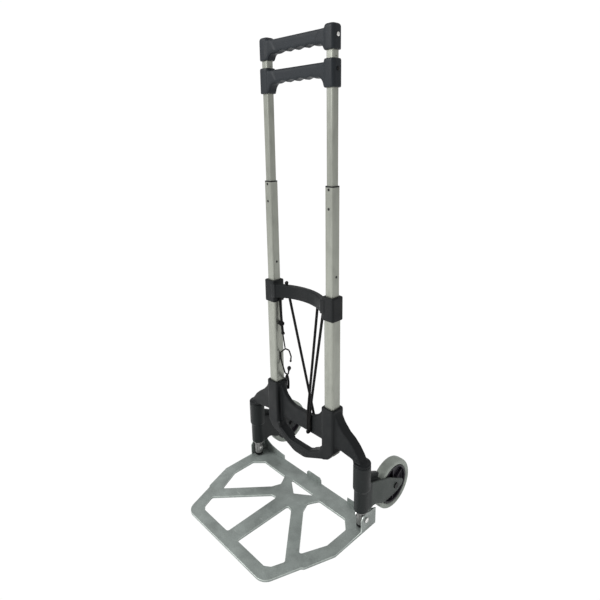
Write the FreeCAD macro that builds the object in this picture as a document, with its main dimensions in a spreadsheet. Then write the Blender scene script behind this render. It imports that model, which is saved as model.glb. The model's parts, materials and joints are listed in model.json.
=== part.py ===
import FreeCAD, Part
import math
import os
from types import SimpleNamespace

import Sketcher

V = FreeCAD.Vector
X_AXIS = V(1, 0, 0)
Y_AXIS = V(0, 1, 0)
Z_AXIS = V(0, 0, 1)
SIDES = (("left", -1), ("right", 1))

# A folding hand truck that stands on its toe plate and two wheels.
# X runs across it, Y from the toe plate's front edge (-Y) to the wheels (+Y), Z up.
# Everything is first laid out about the middle of the two tube axes at floor level,
# and then moved along Y by SHIFT, so that the origin is the middle of the footprint.

SIZES = [
    # telescoping tubes: rounded squares, three a side
    ("tube_pitch", 186, "distance between the left and right tube axes"),
    ("lower_side", 27, "outer side of the fixed lower tube"),
    ("lower_round", 5, "corner radius of the lower tube"),
    ("guide_wall", 0.8, "wall of the bushing and shoe between the lower and middle tubes"),
    ("mid_round", 4.2, "corner radius of the middle tube"),
    ("collar_wall", 0.7, "wall of the bushing and shoe between the middle and upper tubes"),
    ("upper_round", 3.2, "corner radius of the upper tube"),
    ("tube_wall", 1.3, "wall of every square tube"),
    ("slide_gap", 0.3, "air between a sliding tube or shoe and what guides it"),
    ("tube_seat", 150, "height of the lower tube's bottom end in the yoke"),
    ("guide_length", 30, "length of each guide bushing and slide shoe"),
    ("flange", 1.5, "thickness of the flange of a bushing or shoe"),
    ("mid_top", 755, "height of the middle stage's top, drawn out"),
    ("collar_height", 2.5, "visible ring of the bushing on the middle tube"),
    ("collar_skirt", 52, "length of that bushing inside the middle tube"),
    ("lug_radius", 2.2, "moulded lugs that lock the bushing in the tube's holes"),
    ("lug_upper", 7, "upper lug below the top of the middle stage"),
    ("lug_spacing", 38, "distance between the two lugs"),
    ("stop_hole", 185, "side hole below the top of the middle stage"),
    # crossbar with its two clamp blocks
    ("block_base", 474, "height of the underside of the clamp blocks"),
    ("block_height", 52.5, "height of the clamp blocks"),
    ("block_side", 33, "outer side of the clamp blocks"),
    ("block_round", 4, "corner radius of the clamp blocks"),
    ("block_lip", 4, "top lip of the clamp block, over the lower tube's end"),
    ("bar_rise", 14, "underside of the crossbar above that of the clamp blocks"),
    ("bar_height", 31.5, "height of the crossbar"),
    ("bar_thick", 12, "thickness of the crossbar"),
    ("bar_bow", 24, "how far the middle of the crossbar bows backwards"),
    ("bar_middle", 13, "Y of the crossbar's centre line at its middle"),
    # handles
    ("top_sleeve", 26.4, "outer side of the top handle's sleeves"),
    ("top_round", 7.5, "corner radius of the top handle's sleeves"),
    ("top_crown", 1047, "height of the top of the top handle's sleeves"),
    ("top_length", 45, "length of the top handle's sleeves"),
    ("top_drop", 6, "top grip below the top of its sleeves"),
    ("top_grip", 28, "height of the top grip, top to bottom"),
    ("crown_round", 6, "rounding of the tops of those sleeves"),
    ("handle_gap", 14, "air between the top and the lower handle's sleeves"),
    ("low_sleeve", 27.4, "outer side of the lower handle's sleeves"),
    ("low_round", 7.5, "corner radius of the lower handle's sleeves"),
    ("low_length", 51, "length of the lower handle's sleeves"),
    ("low_drop", 5, "lower grip below the top of its sleeves"),
    ("low_grip", 27.5, "height of the lower grip, top to bottom"),
    ("grip_depth", 21, "depth of both grips, front to back"),
    ("finger_pitch", 27, "distance between finger grooves"),
    ("finger_depth", 4, "depth of the finger grooves"),
    ("crown_wall", 5, "plastic above the upper tube's end"),
    # yoke: the moulding that joins the tubes and the legs
    ("rim_height", 267, "top of the yoke's tube sockets"),
    ("socket_side", 37, "outer side of the tube sockets"),
    ("socket_round", 5, "corner radius of the tube sockets"),
    ("socket_base", 128, "underside of the socket blocks"),
    ("shoulder_thick", 24, "front-to-back thickness of the shoulders"),
    ("web_thick", 12, "thickness of the web between the sockets"),
    ("arch_drop", 50, "lowest point of the arch on top of the web, below the sockets' top"),
    ("window_top", 173, "top of the yoke's window"),
    ("window_half", 70, "half width of the window"),
    ("loop_thick", 19, "front-to-back thickness of the hand loop"),
    ("loop_inner", 131, "bottom of the window"),
    ("loop_outer", 104, "bottom of the hand loop"),
    # legs, swivelling forks and wheels
    ("leg_radius", 10.5, "outer radius of the leg tube"),
    ("leg_wall", 1.5, "wall of the leg tube"),
    ("leg_base", 14, "height of the leg tube's lower end"),
    ("leg_seat", 4.5, "depth of the leg tube's upper end in the yoke"),
    ("collar_base", 164.5, "underside of the yoke's leg sockets"),
    ("collar_radius", 19.5, "outer radius of the yoke's leg sockets"),
    ("run_gap", 0.06, "radial clearance of every turning fit"),
    ("face_gap", 0.3, "air between faces that turn past each other"),
    ("ring_height", 2.2, "height of the thrust ring under the fork"),
    ("sleeve_base", 48.5, "underside of the fork's sleeve"),
    ("sleeve_radius", 16.8, "outer radius of the fork's sleeve"),
    ("spring_house", 104, "where the sleeve widens for its spring"),
    ("house_radius", 19.5, "outer radius of the spring housing"),
    ("house_wall", 4, "wall and floor of the spring housing"),
    ("spring_wire", 1.1, "wire radius of the fork's spring"),
    ("wheel_trail", 105, "distance of the wheel axle behind the leg"),
    ("wheel_radius", 60, "outer radius of the tyre"),
    ("wheel_width", 25, "width of the tyre"),
    ("rim_radius", 46, "outer radius of the wheel hub's rim"),
    ("hub_web", 3, "half the thickness of the hub's disc"),
    ("hub_boss", 12, "radius of the hub's middle boss"),
    ("axle_radius", 4, "radius of the wheel axle"),
    ("bush_wall", 2, "wall of the wheel's plain bearing"),
    ("wheel_gap", 1, "air between the wheel and each cheek"),
    ("cheek_thick", 3.6, "thickness of the fork's cheeks"),
    ("cheek_reach", 28, "how far the cheeks reach behind the axle"),
    # toe plate
    ("plate_reach", 250, "front edge of the toe plate, ahead of the tubes"),
    ("plate_back", 34, "rear edge of the toe plate, behind the tubes"),
    ("plate_half", 195, "half width of the toe plate"),
    ("nose_inset", 58, "its front corners, before rounding, inside its full width"),
    ("waist_inset", 29, "the notch in its sides inside its full width"),
    ("plate_flare", 101, "how far forward the toe plate keeps its full width"),
    ("nose_length", 82, "its front edge ahead of the step in its width"),
    ("plate_deep", 5, "height of the pressing"),
    ("plate_sheet", 2, "thickness of the sheet"),
    ("nose_round", 28, "rounding of the front corners"),
    ("hinge_height", 29, "height of the toe plate's hinge line"),
    ("ear_gap", 1.3, "air between the turning ear and the thrust ring above it"),
    ("hinge_washer", 0.9, "thickness of the washer between leg and ear"),
    ("hinge_radius", 4, "radius of the hinge rivet's shank"),
    # elastic cord
    ("screw_radius", 2, "radius of the screws' shanks"),
    ("screw_head", 3.8, "radius of the screws' heads"),
    ("yoke_drop", 45, "the yoke's screws below the top of its tube sockets"),
    ("block_rise", 7, "the clamp blocks' screws above the blocks' underside"),
    ("cord_radius", 3.1, "radius of the elastic cord"),
    ("hook_wire", 1.8, "radius of the hook's wire"),
]


class Length:
    """A size together with the spreadsheet expression that gives it."""

    def __init__(self, value, text):
        self.value = value
        self.text = text

    def __add__(self, other):
        other = as_length(other)
        return Length(self.value + other.value, f"({self.text} + {other.text})")

    def __sub__(self, other):
        other = as_length(other)
        return Length(self.value - other.value, f"({self.text} - {other.text})")

    def __mul__(self, other):
        other = as_length(other)
        return Length(self.value * other.value, f"({self.text} * {other.text})")

    def __truediv__(self, other):
        other = as_length(other)
        return Length(self.value / other.value, f"({self.text} / {other.text})")

    def __neg__(self):
        return Length(-self.value, f"(-{self.text})")

    def __radd__(self, other):
        return as_length(other) + self

    def __rsub__(self, other):
        return as_length(other) - self

    def __rmul__(self, other):
        return as_length(other) * self

    def __float__(self):
        return float(self.value)


def as_length(number):
    return number if isinstance(number, Length) else Length(number, f"({number})")


doc = FreeCAD.newDocument("FoldingHandTruck")
sheet = doc.addObject("Spreadsheet::Sheet", "Sizes")
for row, (alias, value, note) in enumerate(SIZES, start=1):
    sheet.set(f"A{row}", str(value))
    sheet.setAlias(f"A{row}", alias)
    sheet.set(f"B{row}", note)
doc.recompute()
S = SimpleNamespace(**{alias: Length(float(sheet.get(alias)), f"Sizes.{alias}") for alias, _, _ in SIZES})

# sizes that follow from the ones above
SHIFT = (S.plate_reach - S.wheel_trail - S.wheel_radius) / 2
TUBE_X = S.tube_pitch / 2
EAR_IN = S.plate_half - S.plate_sheet
LEG_X = EAR_IN - 2 * S.face_gap - S.hinge_washer - S.leg_radius
LOWER_BORE = S.lower_side - 2 * S.tube_wall
MID_SIDE = LOWER_BORE - 2 * (S.guide_wall + S.slide_gap)
MID_BORE = MID_SIDE - 2 * S.tube_wall
UPPER_SIDE = MID_BORE - 2 * (S.collar_wall + S.slide_gap)
BLOCK_TOP = S.block_base + S.block_height
BAR_BASE = S.block_base + S.bar_rise
BLOCK_SCREW = S.block_base + S.block_rise
YOKE_SCREW = S.rim_height - S.yoke_drop
LOWER_TOP = BLOCK_TOP - S.block_lip - S.flange
GUIDE_BASE = LOWER_TOP - S.guide_length
MID_SHOE_TOP = GUIDE_BASE - S.face_gap
MID_TUBE_TOP = S.mid_top - S.collar_height
SKIRT_BASE = MID_TUBE_TOP - S.collar_skirt
UPPER_SHOE_TOP = SKIRT_BASE - S.face_gap
UPPER_TUBE_TOP = S.top_crown - S.crown_wall
SLEEVE_TOP = S.collar_base - S.face_gap
WHEEL_HALF = S.wheel_width / 2
CHEEK_IN = WHEEL_HALF + S.wheel_gap
CHEEK_OUT = CHEEK_IN + S.cheek_thick
SHAFT_BORE = S.axle_radius + S.run_gap
TOP_BASE = S.top_crown - S.top_length
TOP_BAR = S.top_crown - S.top_drop - S.top_grip
TOP_RIVET = TOP_BAR + S.top_grip / 2
LOW_CROWN = TOP_BASE - S.handle_gap
LOW_BASE = LOW_CROWN - S.low_length
LOW_BAR = LOW_CROWN - S.low_drop - S.low_grip
LOW_RIVET = LOW_BAR + S.low_grip / 2
RING_BASE = S.sleeve_base - S.face_gap - S.ring_height
EAR_ROUND = RING_BASE - S.hinge_height - S.ear_gap
SPRING_FLOOR = S.spring_house + S.house_wall
HOUSE_BORE = S.house_radius - S.house_wall
PLATE_WAIST = S.plate_half - S.waist_inset
PLATE_NOSE = S.plate_half - S.nose_inset
PLATE_NECK = S.plate_reach - S.nose_length

nodes = []


def keep(item, label):
    """Names a finished sub-part; its name is also its file's name."""
    item.Label = label
    nodes.append(item)
    return item


def bind_place(item, x=0, y=0, z=0):
    """Puts a sub-part at x, y, z about the tubes, and shifts it to the origin."""
    for letter, length in (("x", x), ("y", y + SHIFT), ("z", z)):
        item.setExpression(f"Placement.Base.{letter}", as_length(length).text)


# ---------------------------------------------------------------- sketches

def origin_plane(body, role):
    return next(item for item in body.Origin.OriginFeatures if item.Role == role)


def new_body(label):
    body = doc.addObject("PartDesign::Body", label)
    return keep(body, label)


def new_sketch(body, name, role="XY_Plane", level=None):
    sketch = body.newObject("Sketcher::SketchObject", name)
    sketch.AttachmentSupport = [(origin_plane(body, role), "")]
    sketch.MapMode = "FlatFace"
    if level is not None:
        sketch.setExpression("AttachmentOffset.Base.z", as_length(level).text)
    return sketch


def bind_constraint(sketch, constraint, length):
    index = sketch.addConstraint(constraint)
    sketch.setExpression(f"Constraints[{index}]", length.text)


def draw_circle(sketch, radius, x=0, y=0):
    x, y = as_length(x), as_length(y)
    circle = sketch.addGeometry(Part.Circle(V(x.value, y.value, 0), Z_AXIS, radius.value), False)
    bind_constraint(sketch, Sketcher.Constraint("Radius", circle, radius.value), radius)
    for kind, length in (("DistanceX", x), ("DistanceY", y)):
        constraint = Sketcher.Constraint(kind, -1, 1, circle, 3, length.value)
        if length.value:
            bind_constraint(sketch, constraint, length)
        else:
            sketch.addConstraint(constraint)


def draw_square(sketch, side, rounding):
    """A square with rounded corners, centred on the sketch's origin."""
    half = side.value / 2
    inner = half - rounding.value
    first = sketch.GeometryCount
    for quarter in range(4):
        turn = FreeCAD.Rotation(Z_AXIS, 90 * quarter)
        start = turn.multVec(V(-inner, -half, 0))
        end = turn.multVec(V(inner, -half, 0))
        corner = Part.Circle(turn.multVec(V(inner, -inner, 0)), Z_AXIS, rounding.value)
        angle = math.pi / 2 * (quarter - 1)
        sketch.addGeometry(Part.LineSegment(start, end), False)
        sketch.addGeometry(Part.ArcOfCircle(corner, angle, angle + math.pi / 2), False)
    for index in range(8):
        following = first + (index + 1) % 8
        sketch.addConstraint(Sketcher.Constraint("Tangent", first + index, 2, following, 1))
    for line, kind in ((0, "Horizontal"), (2, "Vertical"), (4, "Horizontal"), (6, "Vertical")):
        sketch.addConstraint(Sketcher.Constraint(kind, first + line))
    for arc in (3, 5):
        sketch.addConstraint(Sketcher.Constraint("Equal", first + 1, first + arc))
    sketch.addConstraint(Sketcher.Constraint("Symmetric", first + 1, 3, first + 5, 3, -1, 1))
    for one, other in ((2, 6), (0, 4)):
        across = Sketcher.Constraint("Distance", first + one, 1, first + other, side.value)
        bind_constraint(sketch, across, side)
    bind_constraint(sketch, Sketcher.Constraint("Radius", first + 1, rounding.value), rounding)


def draw_outline(sketch, corners):
    """A closed outline of straight lines through corners, each held by two sizes."""
    corners = [(as_length(x), as_length(y)) for x, y in corners]
    count = len(corners)
    first = sketch.GeometryCount
    for index in range(count):
        here, there = corners[index], corners[(index + 1) % count]
        start, end = V(here[0].value, here[1].value, 0), V(there[0].value, there[1].value, 0)
        sketch.addGeometry(Part.LineSegment(start, end), False)
    for index in range(count):
        line = first + index
        sketch.addConstraint(Sketcher.Constraint("Coincident", line, 2, first + (index + 1) % count, 1))
        for kind, length in zip(("DistanceX", "DistanceY"), corners[index]):
            constraint = Sketcher.Constraint(kind, -1, 1, line, 1, length.value)
            if length.value:
                bind_constraint(sketch, constraint, length)
            else:
                sketch.addConstraint(constraint)


def mirrored(half):
    """Corners on the right side, followed by their mirror images."""
    return half + [(-x, y) for x, y in reversed(half)]


# ---------------------------------------------------------------- features

def pad(body, sketch, length, midplane=False):
    feature = body.newObject("PartDesign::Pad", f"{sketch.Name}_pad")
    feature.Profile = sketch
    feature.setExpression("Length", as_length(length).text)
    feature.Midplane = midplane
    return feature


def pocket_through(body, sketch):
    feature = body.newObject("PartDesign::Pocket", f"{sketch.Name}_pocket")
    feature.Profile = sketch
    feature.Type = "ThroughAll"
    feature.Midplane = True
    return feature


def pocket(body, sketch, length, reverse=False):
    feature = body.newObject("PartDesign::Pocket", f"{sketch.Name}_pocket")
    feature.Profile = sketch
    feature.setExpression("Length", as_length(length).text)
    feature.Reversed = reverse
    return feature


def square_ring(body, name, outer, outer_round, wall, base, height):
    """Adds a square tube's length between two levels of a body."""
    sketch = new_sketch(body, name, level=base)
    draw_square(sketch, as_length(outer), as_length(outer_round))
    draw_square(sketch, outer - 2 * wall, outer_round - wall)
    return pad(body, sketch, height)


def revolved(label, corners, x=0, y=0, z=0):
    """Turns an outline, given as distance along X and radius, about the X axis."""
    body = new_body(label)
    sketch = new_sketch(body, f"{label}_profile")
    draw_outline(sketch, corners)
    feature = body.newObject("PartDesign::Revolution", f"{label}_turned")
    feature.Profile = sketch
    feature.ReferenceAxis = (sketch, ["H_Axis"])
    feature.Angle = 360
    bind_place(body, x, y, z)
    return body


def rod(name, radius, length, direction, x=0, y=0, z=0):
    """A cylinder from x, y, z along direction; not a sub-part by itself."""
    item = doc.addObject("Part::Cylinder", name)
    item.setExpression("Radius", as_length(radius).text)
    item.setExpression("Height", as_length(length).text)
    item.Placement = FreeCAD.Placement(V(), FreeCAD.Rotation(Z_AXIS, direction))
    bind_place(item, x, y, z)
    return item


def fused(name, items):
    item = doc.addObject("Part::MultiFuse", name)
    item.Shapes = items
    return item


def cut(name, base, tool):
    item = doc.addObject("Part::Cut", name)
    item.Base = base
    item.Tool = tool
    return item


def group(label, items):
    """Like pieces that share one node as separate solids."""
    item = doc.addObject("Part::Compound", label)
    item.Links = items
    return keep(item, label)


# ---------------------------------------------------------------- free shapes

def num(*lengths):
    return [float(length) for length in lengths]


def square_block(side, rounding, base, height):
    """A rounded square column about the Z axis."""
    side, rounding, base, height = num(side, rounding, base, height)
    block = Part.makeBox(side, side, height, V(-side / 2, -side / 2, base))
    upright = [edge for edge in block.Edges if abs(edge.tangentAt(edge.FirstParameter).z) > 0.99]
    return block.makeFillet(rounding, upright)


def free_part(label, shape, mirror=False, x=0.0):
    """Keeps a shape laid out about the tubes as a sub-part."""
    if mirror:
        shape = shape.mirror(V(), X_AXIS)
    item = doc.addObject("Part::Feature", label)
    item.Shape = shape.removeSplitter()
    item.Placement = FreeCAD.Placement(V(x, SHIFT.value, 0), FreeCAD.Rotation())
    return keep(item, label)


# ---------------------------------------------------------------- telescoping tubes

def make_lower_tube(side, sign):
    """Fixed tube between the yoke and the clamp block."""
    body = new_body(f"lower_tube_{side}")
    square_ring(body, "lower_wall", S.lower_side, S.lower_round, S.tube_wall, 0, LOWER_TOP - S.tube_seat)
    holes = new_sketch(body, "screw_holes", "XZ_Plane")
    for level in (YOKE_SCREW, BLOCK_SCREW):
        draw_circle(holes, S.screw_radius + S.run_gap, 0, level - S.tube_seat)
    pocket(body, holes, S.lower_side)
    bind_place(body, TUBE_X * sign, 0, S.tube_seat)


def make_guide(side, sign):
    """Plastic bushing in the lower tube's mouth, which guides the middle tube."""
    body = new_body(f"guide_bushing_{side}")
    square_ring(body, "guide_skirt", LOWER_BORE, S.lower_round - S.tube_wall, S.guide_wall, 0,
                S.guide_length)
    brim = (S.lower_side - MID_SIDE) / 2 - S.slide_gap
    square_ring(body, "guide_brim", S.lower_side, S.lower_round, brim, S.guide_length, S.flange)
    bind_place(body, TUBE_X * sign, 0, GUIDE_BASE)


def make_mid_tube(side, sign):
    """Middle tube, with two lug holes in front and a stop hole on its right face."""
    body = new_body(f"mid_tube_{side}")
    base = MID_SHOE_TOP - S.guide_length
    square_ring(body, "mid_wall", MID_SIDE, S.mid_round, S.tube_wall, 0, MID_TUBE_TOP - base)
    holes = new_sketch(body, "lug_holes", "XZ_Plane")
    for drop in (S.lug_upper, S.lug_upper + S.lug_spacing):
        draw_circle(holes, S.lug_radius, 0, S.mid_top - drop - base)
    pocket(body, holes, MID_SIDE, reverse=True)
    stop = new_sketch(body, "stop_hole", "YZ_Plane")
    draw_circle(stop, S.lug_radius, 0, S.mid_top - S.stop_hole - base)
    pocket(body, stop, MID_SIDE, reverse=True)
    bind_place(body, TUBE_X * sign, 0, base)


def make_mid_bushing(side, sign):
    """Bushing in the middle tube's mouth: a skirt, a visible ring and two lugs in front."""
    body = new_body(f"mid_bushing_{side}")
    square_ring(body, "skirt", MID_BORE, S.mid_round - S.tube_wall, S.collar_wall, 0, S.collar_skirt)
    brim = (MID_SIDE - UPPER_SIDE) / 2 - S.slide_gap
    square_ring(body, "collar", MID_SIDE, S.mid_round, brim, S.collar_skirt, S.collar_height)
    lugs = new_sketch(body, "lugs", "XZ_Plane", level=MID_BORE / 2 - S.collar_wall / 2)
    for drop in (S.lug_upper, S.lug_upper + S.lug_spacing):
        draw_circle(lugs, S.lug_radius, 0, S.mid_top - drop - SKIRT_BASE)
    pad(body, lugs, S.collar_wall / 2 + S.tube_wall)
    bind_place(body, TUBE_X * sign, 0, SKIRT_BASE)


def make_shoe(label, bore, tube_side, tube_round, top, x):
    """Slide shoe round the lower end of a tube, which runs in the next tube's bore."""
    body = new_body(label)
    outer = bore - 2 * S.slide_gap
    wall = (outer - tube_side) / 2
    square_ring(body, "shoe_skirt", outer, tube_round + wall, wall, S.flange, S.guide_length)
    lip = wall + S.tube_wall
    square_ring(body, "shoe_lip", outer, tube_round + wall, lip, 0, S.flange)
    bind_place(body, x, 0, top - S.guide_length - S.flange)


def make_upper_tube(side, sign):
    """Upper tube, which carries both handles on rivets in its outer face."""
    body = new_body(f"upper_tube_{side}")
    base = UPPER_SHOE_TOP - S.guide_length
    square_ring(body, "upper_wall", UPPER_SIDE, S.upper_round, S.tube_wall, 0, UPPER_TUBE_TOP - base)
    hole = new_sketch(body, "grip_hole", "YZ_Plane")
    draw_circle(hole, S.lug_radius / 2, 0, LOW_CROWN + S.lug_radius * 1.5 - base)
    pocket(body, hole, UPPER_SIDE, reverse=True)
    rivets = new_sketch(body, "rivet_holes", "YZ_Plane")
    for level in (TOP_RIVET, LOW_RIVET):
        draw_circle(rivets, S.screw_radius + S.run_gap, 0, level - base)
    pocket(body, rivets, UPPER_SIDE, reverse=sign > 0)
    bind_place(body, TUBE_X * sign, 0, base)


for side, sign in SIDES:
    make_lower_tube(side, sign)
    make_guide(side, sign)
    make_mid_tube(side, sign)
    make_mid_bushing(side, sign)
    make_shoe(f"mid_shoe_{side}", LOWER_BORE, MID_SIDE, S.mid_round, MID_SHOE_TOP, TUBE_X * sign)
    make_upper_tube(side, sign)
    make_shoe(f"upper_shoe_{side}", MID_BORE, UPPER_SIDE, S.upper_round, UPPER_SHOE_TOP, TUBE_X * sign)


# ---------------------------------------------------------------- outlines with rounded corners

def bend(before, corner, after, radius):
    """Tangent arc at a corner: its start, its middle and its end."""
    back = (before - corner).normalize()
    ahead = (after - corner).normalize()
    half = back.getAngle(ahead) / 2
    reach = radius / math.tan(half)
    inward = (back + ahead).normalize()
    middle = corner + inward * (radius / math.sin(half) - radius)
    return corner + back * reach, middle, corner + ahead * reach


def bent_wire(points):
    """Straight runs joined by tangent arcs; each point is a place and a bend radius."""
    edges = []
    start = points[0][0]
    for index in range(1, len(points) - 1):
        corner, radius = points[index]
        first, middle, last = bend(points[index - 1][0], corner, points[index + 1][0], radius)
        edges.append(Part.makeLine(start, first))
        edges.append(Part.Arc(first, middle, last).toShape())
        start = last
    edges.append(Part.makeLine(start, points[-1][0]))
    return Part.Wire(edges)


def bent_rod(points, radius):
    """A round bar along a bent wire."""
    wire = bent_wire(points)
    start = points[0][0]
    circle = Part.makeCircle(radius, start, points[1][0] - start)
    return wire.makePipeShell([Part.Wire([circle])], True, True)


def prism(corners, upright, low, high):
    """Extrudes an outline of (along, height, rounding) corners between two levels.

    upright is "XZ" for an outline seen from the front and "YZ" for one seen from the side.
    """
    if upright == "XZ":
        places = [V(along, low, height) for along, height, _ in corners]
        sweep = V(0, high - low, 0)
    else:
        places = [V(low, along, height) for along, height, _ in corners]
        sweep = V(high - low, 0, 0)
    count = len(corners)
    arcs = []
    for index in range(count):
        rounding = corners[index][2]
        if rounding:
            arcs.append(bend(places[index - 1], places[index], places[(index + 1) % count], rounding))
        else:
            arcs.append((places[index], None, places[index]))
    edges = []
    for index in range(count):
        first, middle, last = arcs[index]
        if middle is not None:
            edges.append(Part.Arc(first, middle, last).toShape())
        edges.append(Part.makeLine(last, arcs[(index + 1) % count][0]))
    return Part.Face(Part.Wire(edges)).extrude(sweep)


def ease_rims(shape, direction, size):
    """Chamfers the rims at both ends of a prism along direction."""
    rims = []
    reach = [vertex.Point.dot(direction) for vertex in shape.Vertexes]
    for edge in shape.Edges:
        ends = [vertex.Point.dot(direction) for vertex in edge.Vertexes]
        for level in (min(reach), max(reach)):
            if all(abs(end - level) < 0.001 for end in ends):
                rims.append(edge)
    return shape.makeChamfer(size, rims)


def mirrored_corners(half):
    """Outline corners on the right side, followed by their mirror images."""
    return half + [(-along, height, rounding) for along, height, rounding in reversed(half)]


def drill(radius, start, end):
    """A cylinder from one place to another."""
    return Part.makeCylinder(radius, (end - start).Length, start, end - start)


# ---------------------------------------------------------------- cord runs

def cord_runs():
    """Places that each elastic cord runs through, top first."""
    bar, web, rim, arch = num(BAR_BASE, S.web_thick / 2, S.rim_height, S.rim_height - S.arch_drop)
    front = -web - float(S.cord_radius) - 0.6
    back = web + float(S.cord_radius) + 0.6
    into = bar + 8
    above = bar + float(S.bar_height + S.cord_radius) + 0.6
    behind = float(S.socket_side / 2 + S.cord_radius) + 0.6
    return {
        "outer_left": [V(-75, 0, into), V(-71.6, 0, bar - 68), V(-67, 0, bar - 92)],
        "inner_left": [V(-53, 3, above), V(26, back, arch - 7), V(31, back, arch - 27)],
        "inner_right": [V(46, 4, into), V(24, front, arch + 5), V(24, front, arch - 33)],
        "outer_right": [V(74.5, -7.5, into), V(30.4, front, arch + 5), V(30.4, front, arch - 33)],
        "tail": [V(-56.5, 0, rim + 21.5), V(-75, behind, rim - 5), V(-78, behind, rim - 29)],
    }


# ---------------------------------------------------------------- base: yoke and crossbar

def make_yoke():
    """Moulded yoke: two tube sockets, two leg collars, a web with a window and a low loop."""
    tube, leg, half, rim = num(TUBE_X, LEG_X, S.socket_side / 2, S.rim_height)
    collar, inner, outer, top = num(S.collar_base, S.loop_inner, S.loop_outer, S.window_top)
    wide, reach, seat = num(S.window_half, S.collar_radius, S.tube_seat)
    shoulder, web, loop = num(S.shoulder_thick / 2, S.web_thick / 2, S.loop_thick)
    side = tube + half
    span = leg - side

    under = [(side, outer + 56, 0), (tube + 4, outer + 36, 16), (18, outer, 34)]
    window = prism(
        mirrored_corners([(wide, top, 5), (wide - 2, inner + (top - inner) * 0.46, 6), (33, inner, 10)]),
        "XZ", -2 * half, 2 * half)

    inside = tube - half
    arch = [
        (tube, inner, 0),
        (tube, rim - 4, 0),
        (inside, rim - 4, 0),
        (inside - 8.5, rim - 17, 15),
        (inside - 16.5, rim - 30, 20),
        (inside - 29.5, rim - 41, 20),
        (inside - 44.5, rim - float(S.arch_drop) + 2, 30),
    ]
    panel = prism(mirrored_corners(arch), "XZ", -web, web).cut(window)
    step = under[0][1]
    floor = prism([(-leg, 0, 0), (leg, 0, 0), (leg, step, 0)] + mirrored_corners(under) + [(-leg, step, 0)],
                  "XZ", -2 * half, 2 * half)
    band = Part.makeBox(2 * tube, loop, inner + 30 - outer, V(-tube, -half, outer))
    band = ease_rims(band.cut([floor, window]), Y_AXIS, 3)

    parts = [band]
    holes = []
    for sign in (-1, 1):
        socket = square_block(S.socket_side, S.socket_round, S.socket_base, rim - float(S.socket_base))
        lip = [edge for edge in socket.Edges if all(v.Z > rim - 0.001 for v in edge.Vertexes)]
        socket = socket.makeChamfer(1, lip)
        socket.translate(V(sign * tube, 0, 0))
        parts.append(socket)
        plate = prism([
            (sign * tube, collar + 12, 0),
            (sign * tube, rim - 6, 0),
            (sign * side, rim - 6, 0),
            (sign * (side + 5.5), rim - 17, 12),
            (sign * (side + 12.5), rim - 29, 20),
            (sign * (side + 0.4 * span), rim - 45, 20),
            (sign * (leg - 0.39 * span), collar + 48.5, 20),
            (sign * (leg - 13), collar + 35.5, 20),
            (sign * (leg - 1.5), collar + 20.5, 20),
            (sign * (leg + 10.2), collar, 0),
            (sign * (leg - reach + 4), collar, 0),
            (sign * (leg - reach + 1), collar + 7, 4),
            (sign * (side + 10), collar + 12.5, 6),
        ], "XZ", -shoulder, shoulder)
        parts.append(ease_rims(plate, Y_AXIS, 1.5))
        boss = Part.makeCylinder(reach, float(S.leg_seat) + 2, V(sign * leg, 0, collar))
        parts.append(boss.makeFillet(2, [edge for edge in boss.Edges if edge.BoundBox.ZMin > collar + 1]))
        bore = square_block(S.lower_side + 2 * S.run_gap, S.lower_round, seat, rim)
        bore.translate(V(sign * tube, 0, 0))
        holes.append(bore)
        holes.append(Part.makeCylinder(float(S.leg_radius + S.run_gap), float(S.leg_seat + S.face_gap),
                                       V(sign * leg, 0, collar)))
        holes.append(drill(float(S.screw_radius + S.run_gap), V(sign * tube, 0, float(YOKE_SCREW)),
                           V(sign * tube, 2 * half, float(YOKE_SCREW))))
    body = panel.fuse(parts)
    for points in cord_runs().values():
        beyond = points[-1] + (points[-1] - points[-2]).normalize() * 2
        holes.append(drill(float(S.cord_radius) + 0.6, points[-2], beyond))
    free_part("base_yoke", body.cut([floor] + holes))


def make_crossbar():
    """Bowed bar between two clamp blocks round the tops of the lower tubes."""
    tube, side, bow, middle = num(TUBE_X, S.block_side, S.bar_bow, S.bar_middle)
    base, tall, thick = num(BAR_BASE, S.bar_height, S.bar_thick)
    start = tube - side / 2
    radius = (start * start + bow * bow) / (2 * bow)
    centre = V(0, middle - radius, base)
    ring = Part.makeCylinder(radius + thick / 2, tall, centre)
    ring = ring.cut(Part.makeCylinder(radius - thick / 2, tall, centre))
    ring = ring.makeFillet(2, [edge for edge in ring.Edges if edge.BoundBox.ZLength < 0.001])
    bar = ring.common(Part.makeBox(2 * start + 2, 2 * side, tall, V(-start - 1, -side / 2 - 1, base)))
    blocks = []
    holes = []
    for sign in (-1, 1):
        block = square_block(S.block_side, S.block_round, S.block_base, S.block_height)
        rims = [edge for edge in block.Edges if edge.BoundBox.ZLength < 0.001]
        block = block.makeChamfer(1, rims)
        ear = Part.makeBox(start - tube + side / 2 + 12, 3, tall, V(start - 4, -side / 2 - 1, base))
        if sign < 0:
            ear = ear.mirror(V(), X_AXIS)
        block.translate(V(sign * tube, 0, 0))
        blocks.append(block.fuse(ear))
        seat = square_block(S.lower_side + 2 * S.run_gap, S.lower_round, S.block_base,
                            S.block_height - S.block_lip)
        mouth = square_block(MID_SIDE + 2 * S.slide_gap, S.mid_round, S.block_base, S.block_height)
        screw = drill(float(S.screw_radius + S.run_gap), V(0, 0, float(BLOCK_SCREW)),
                      V(0, side, float(BLOCK_SCREW)))
        for hole in (seat, mouth, screw):
            hole.translate(V(sign * tube, 0, 0))
            holes.append(hole)
    for points in cord_runs().values():
        holes.append(drill(float(S.cord_radius) + 0.2, points[0], points[1]))
    free_part("crossbar", bar.fuse(blocks).cut(holes))


make_yoke()
make_crossbar()


# ---------------------------------------------------------------- base: legs, springs and hinge

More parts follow.
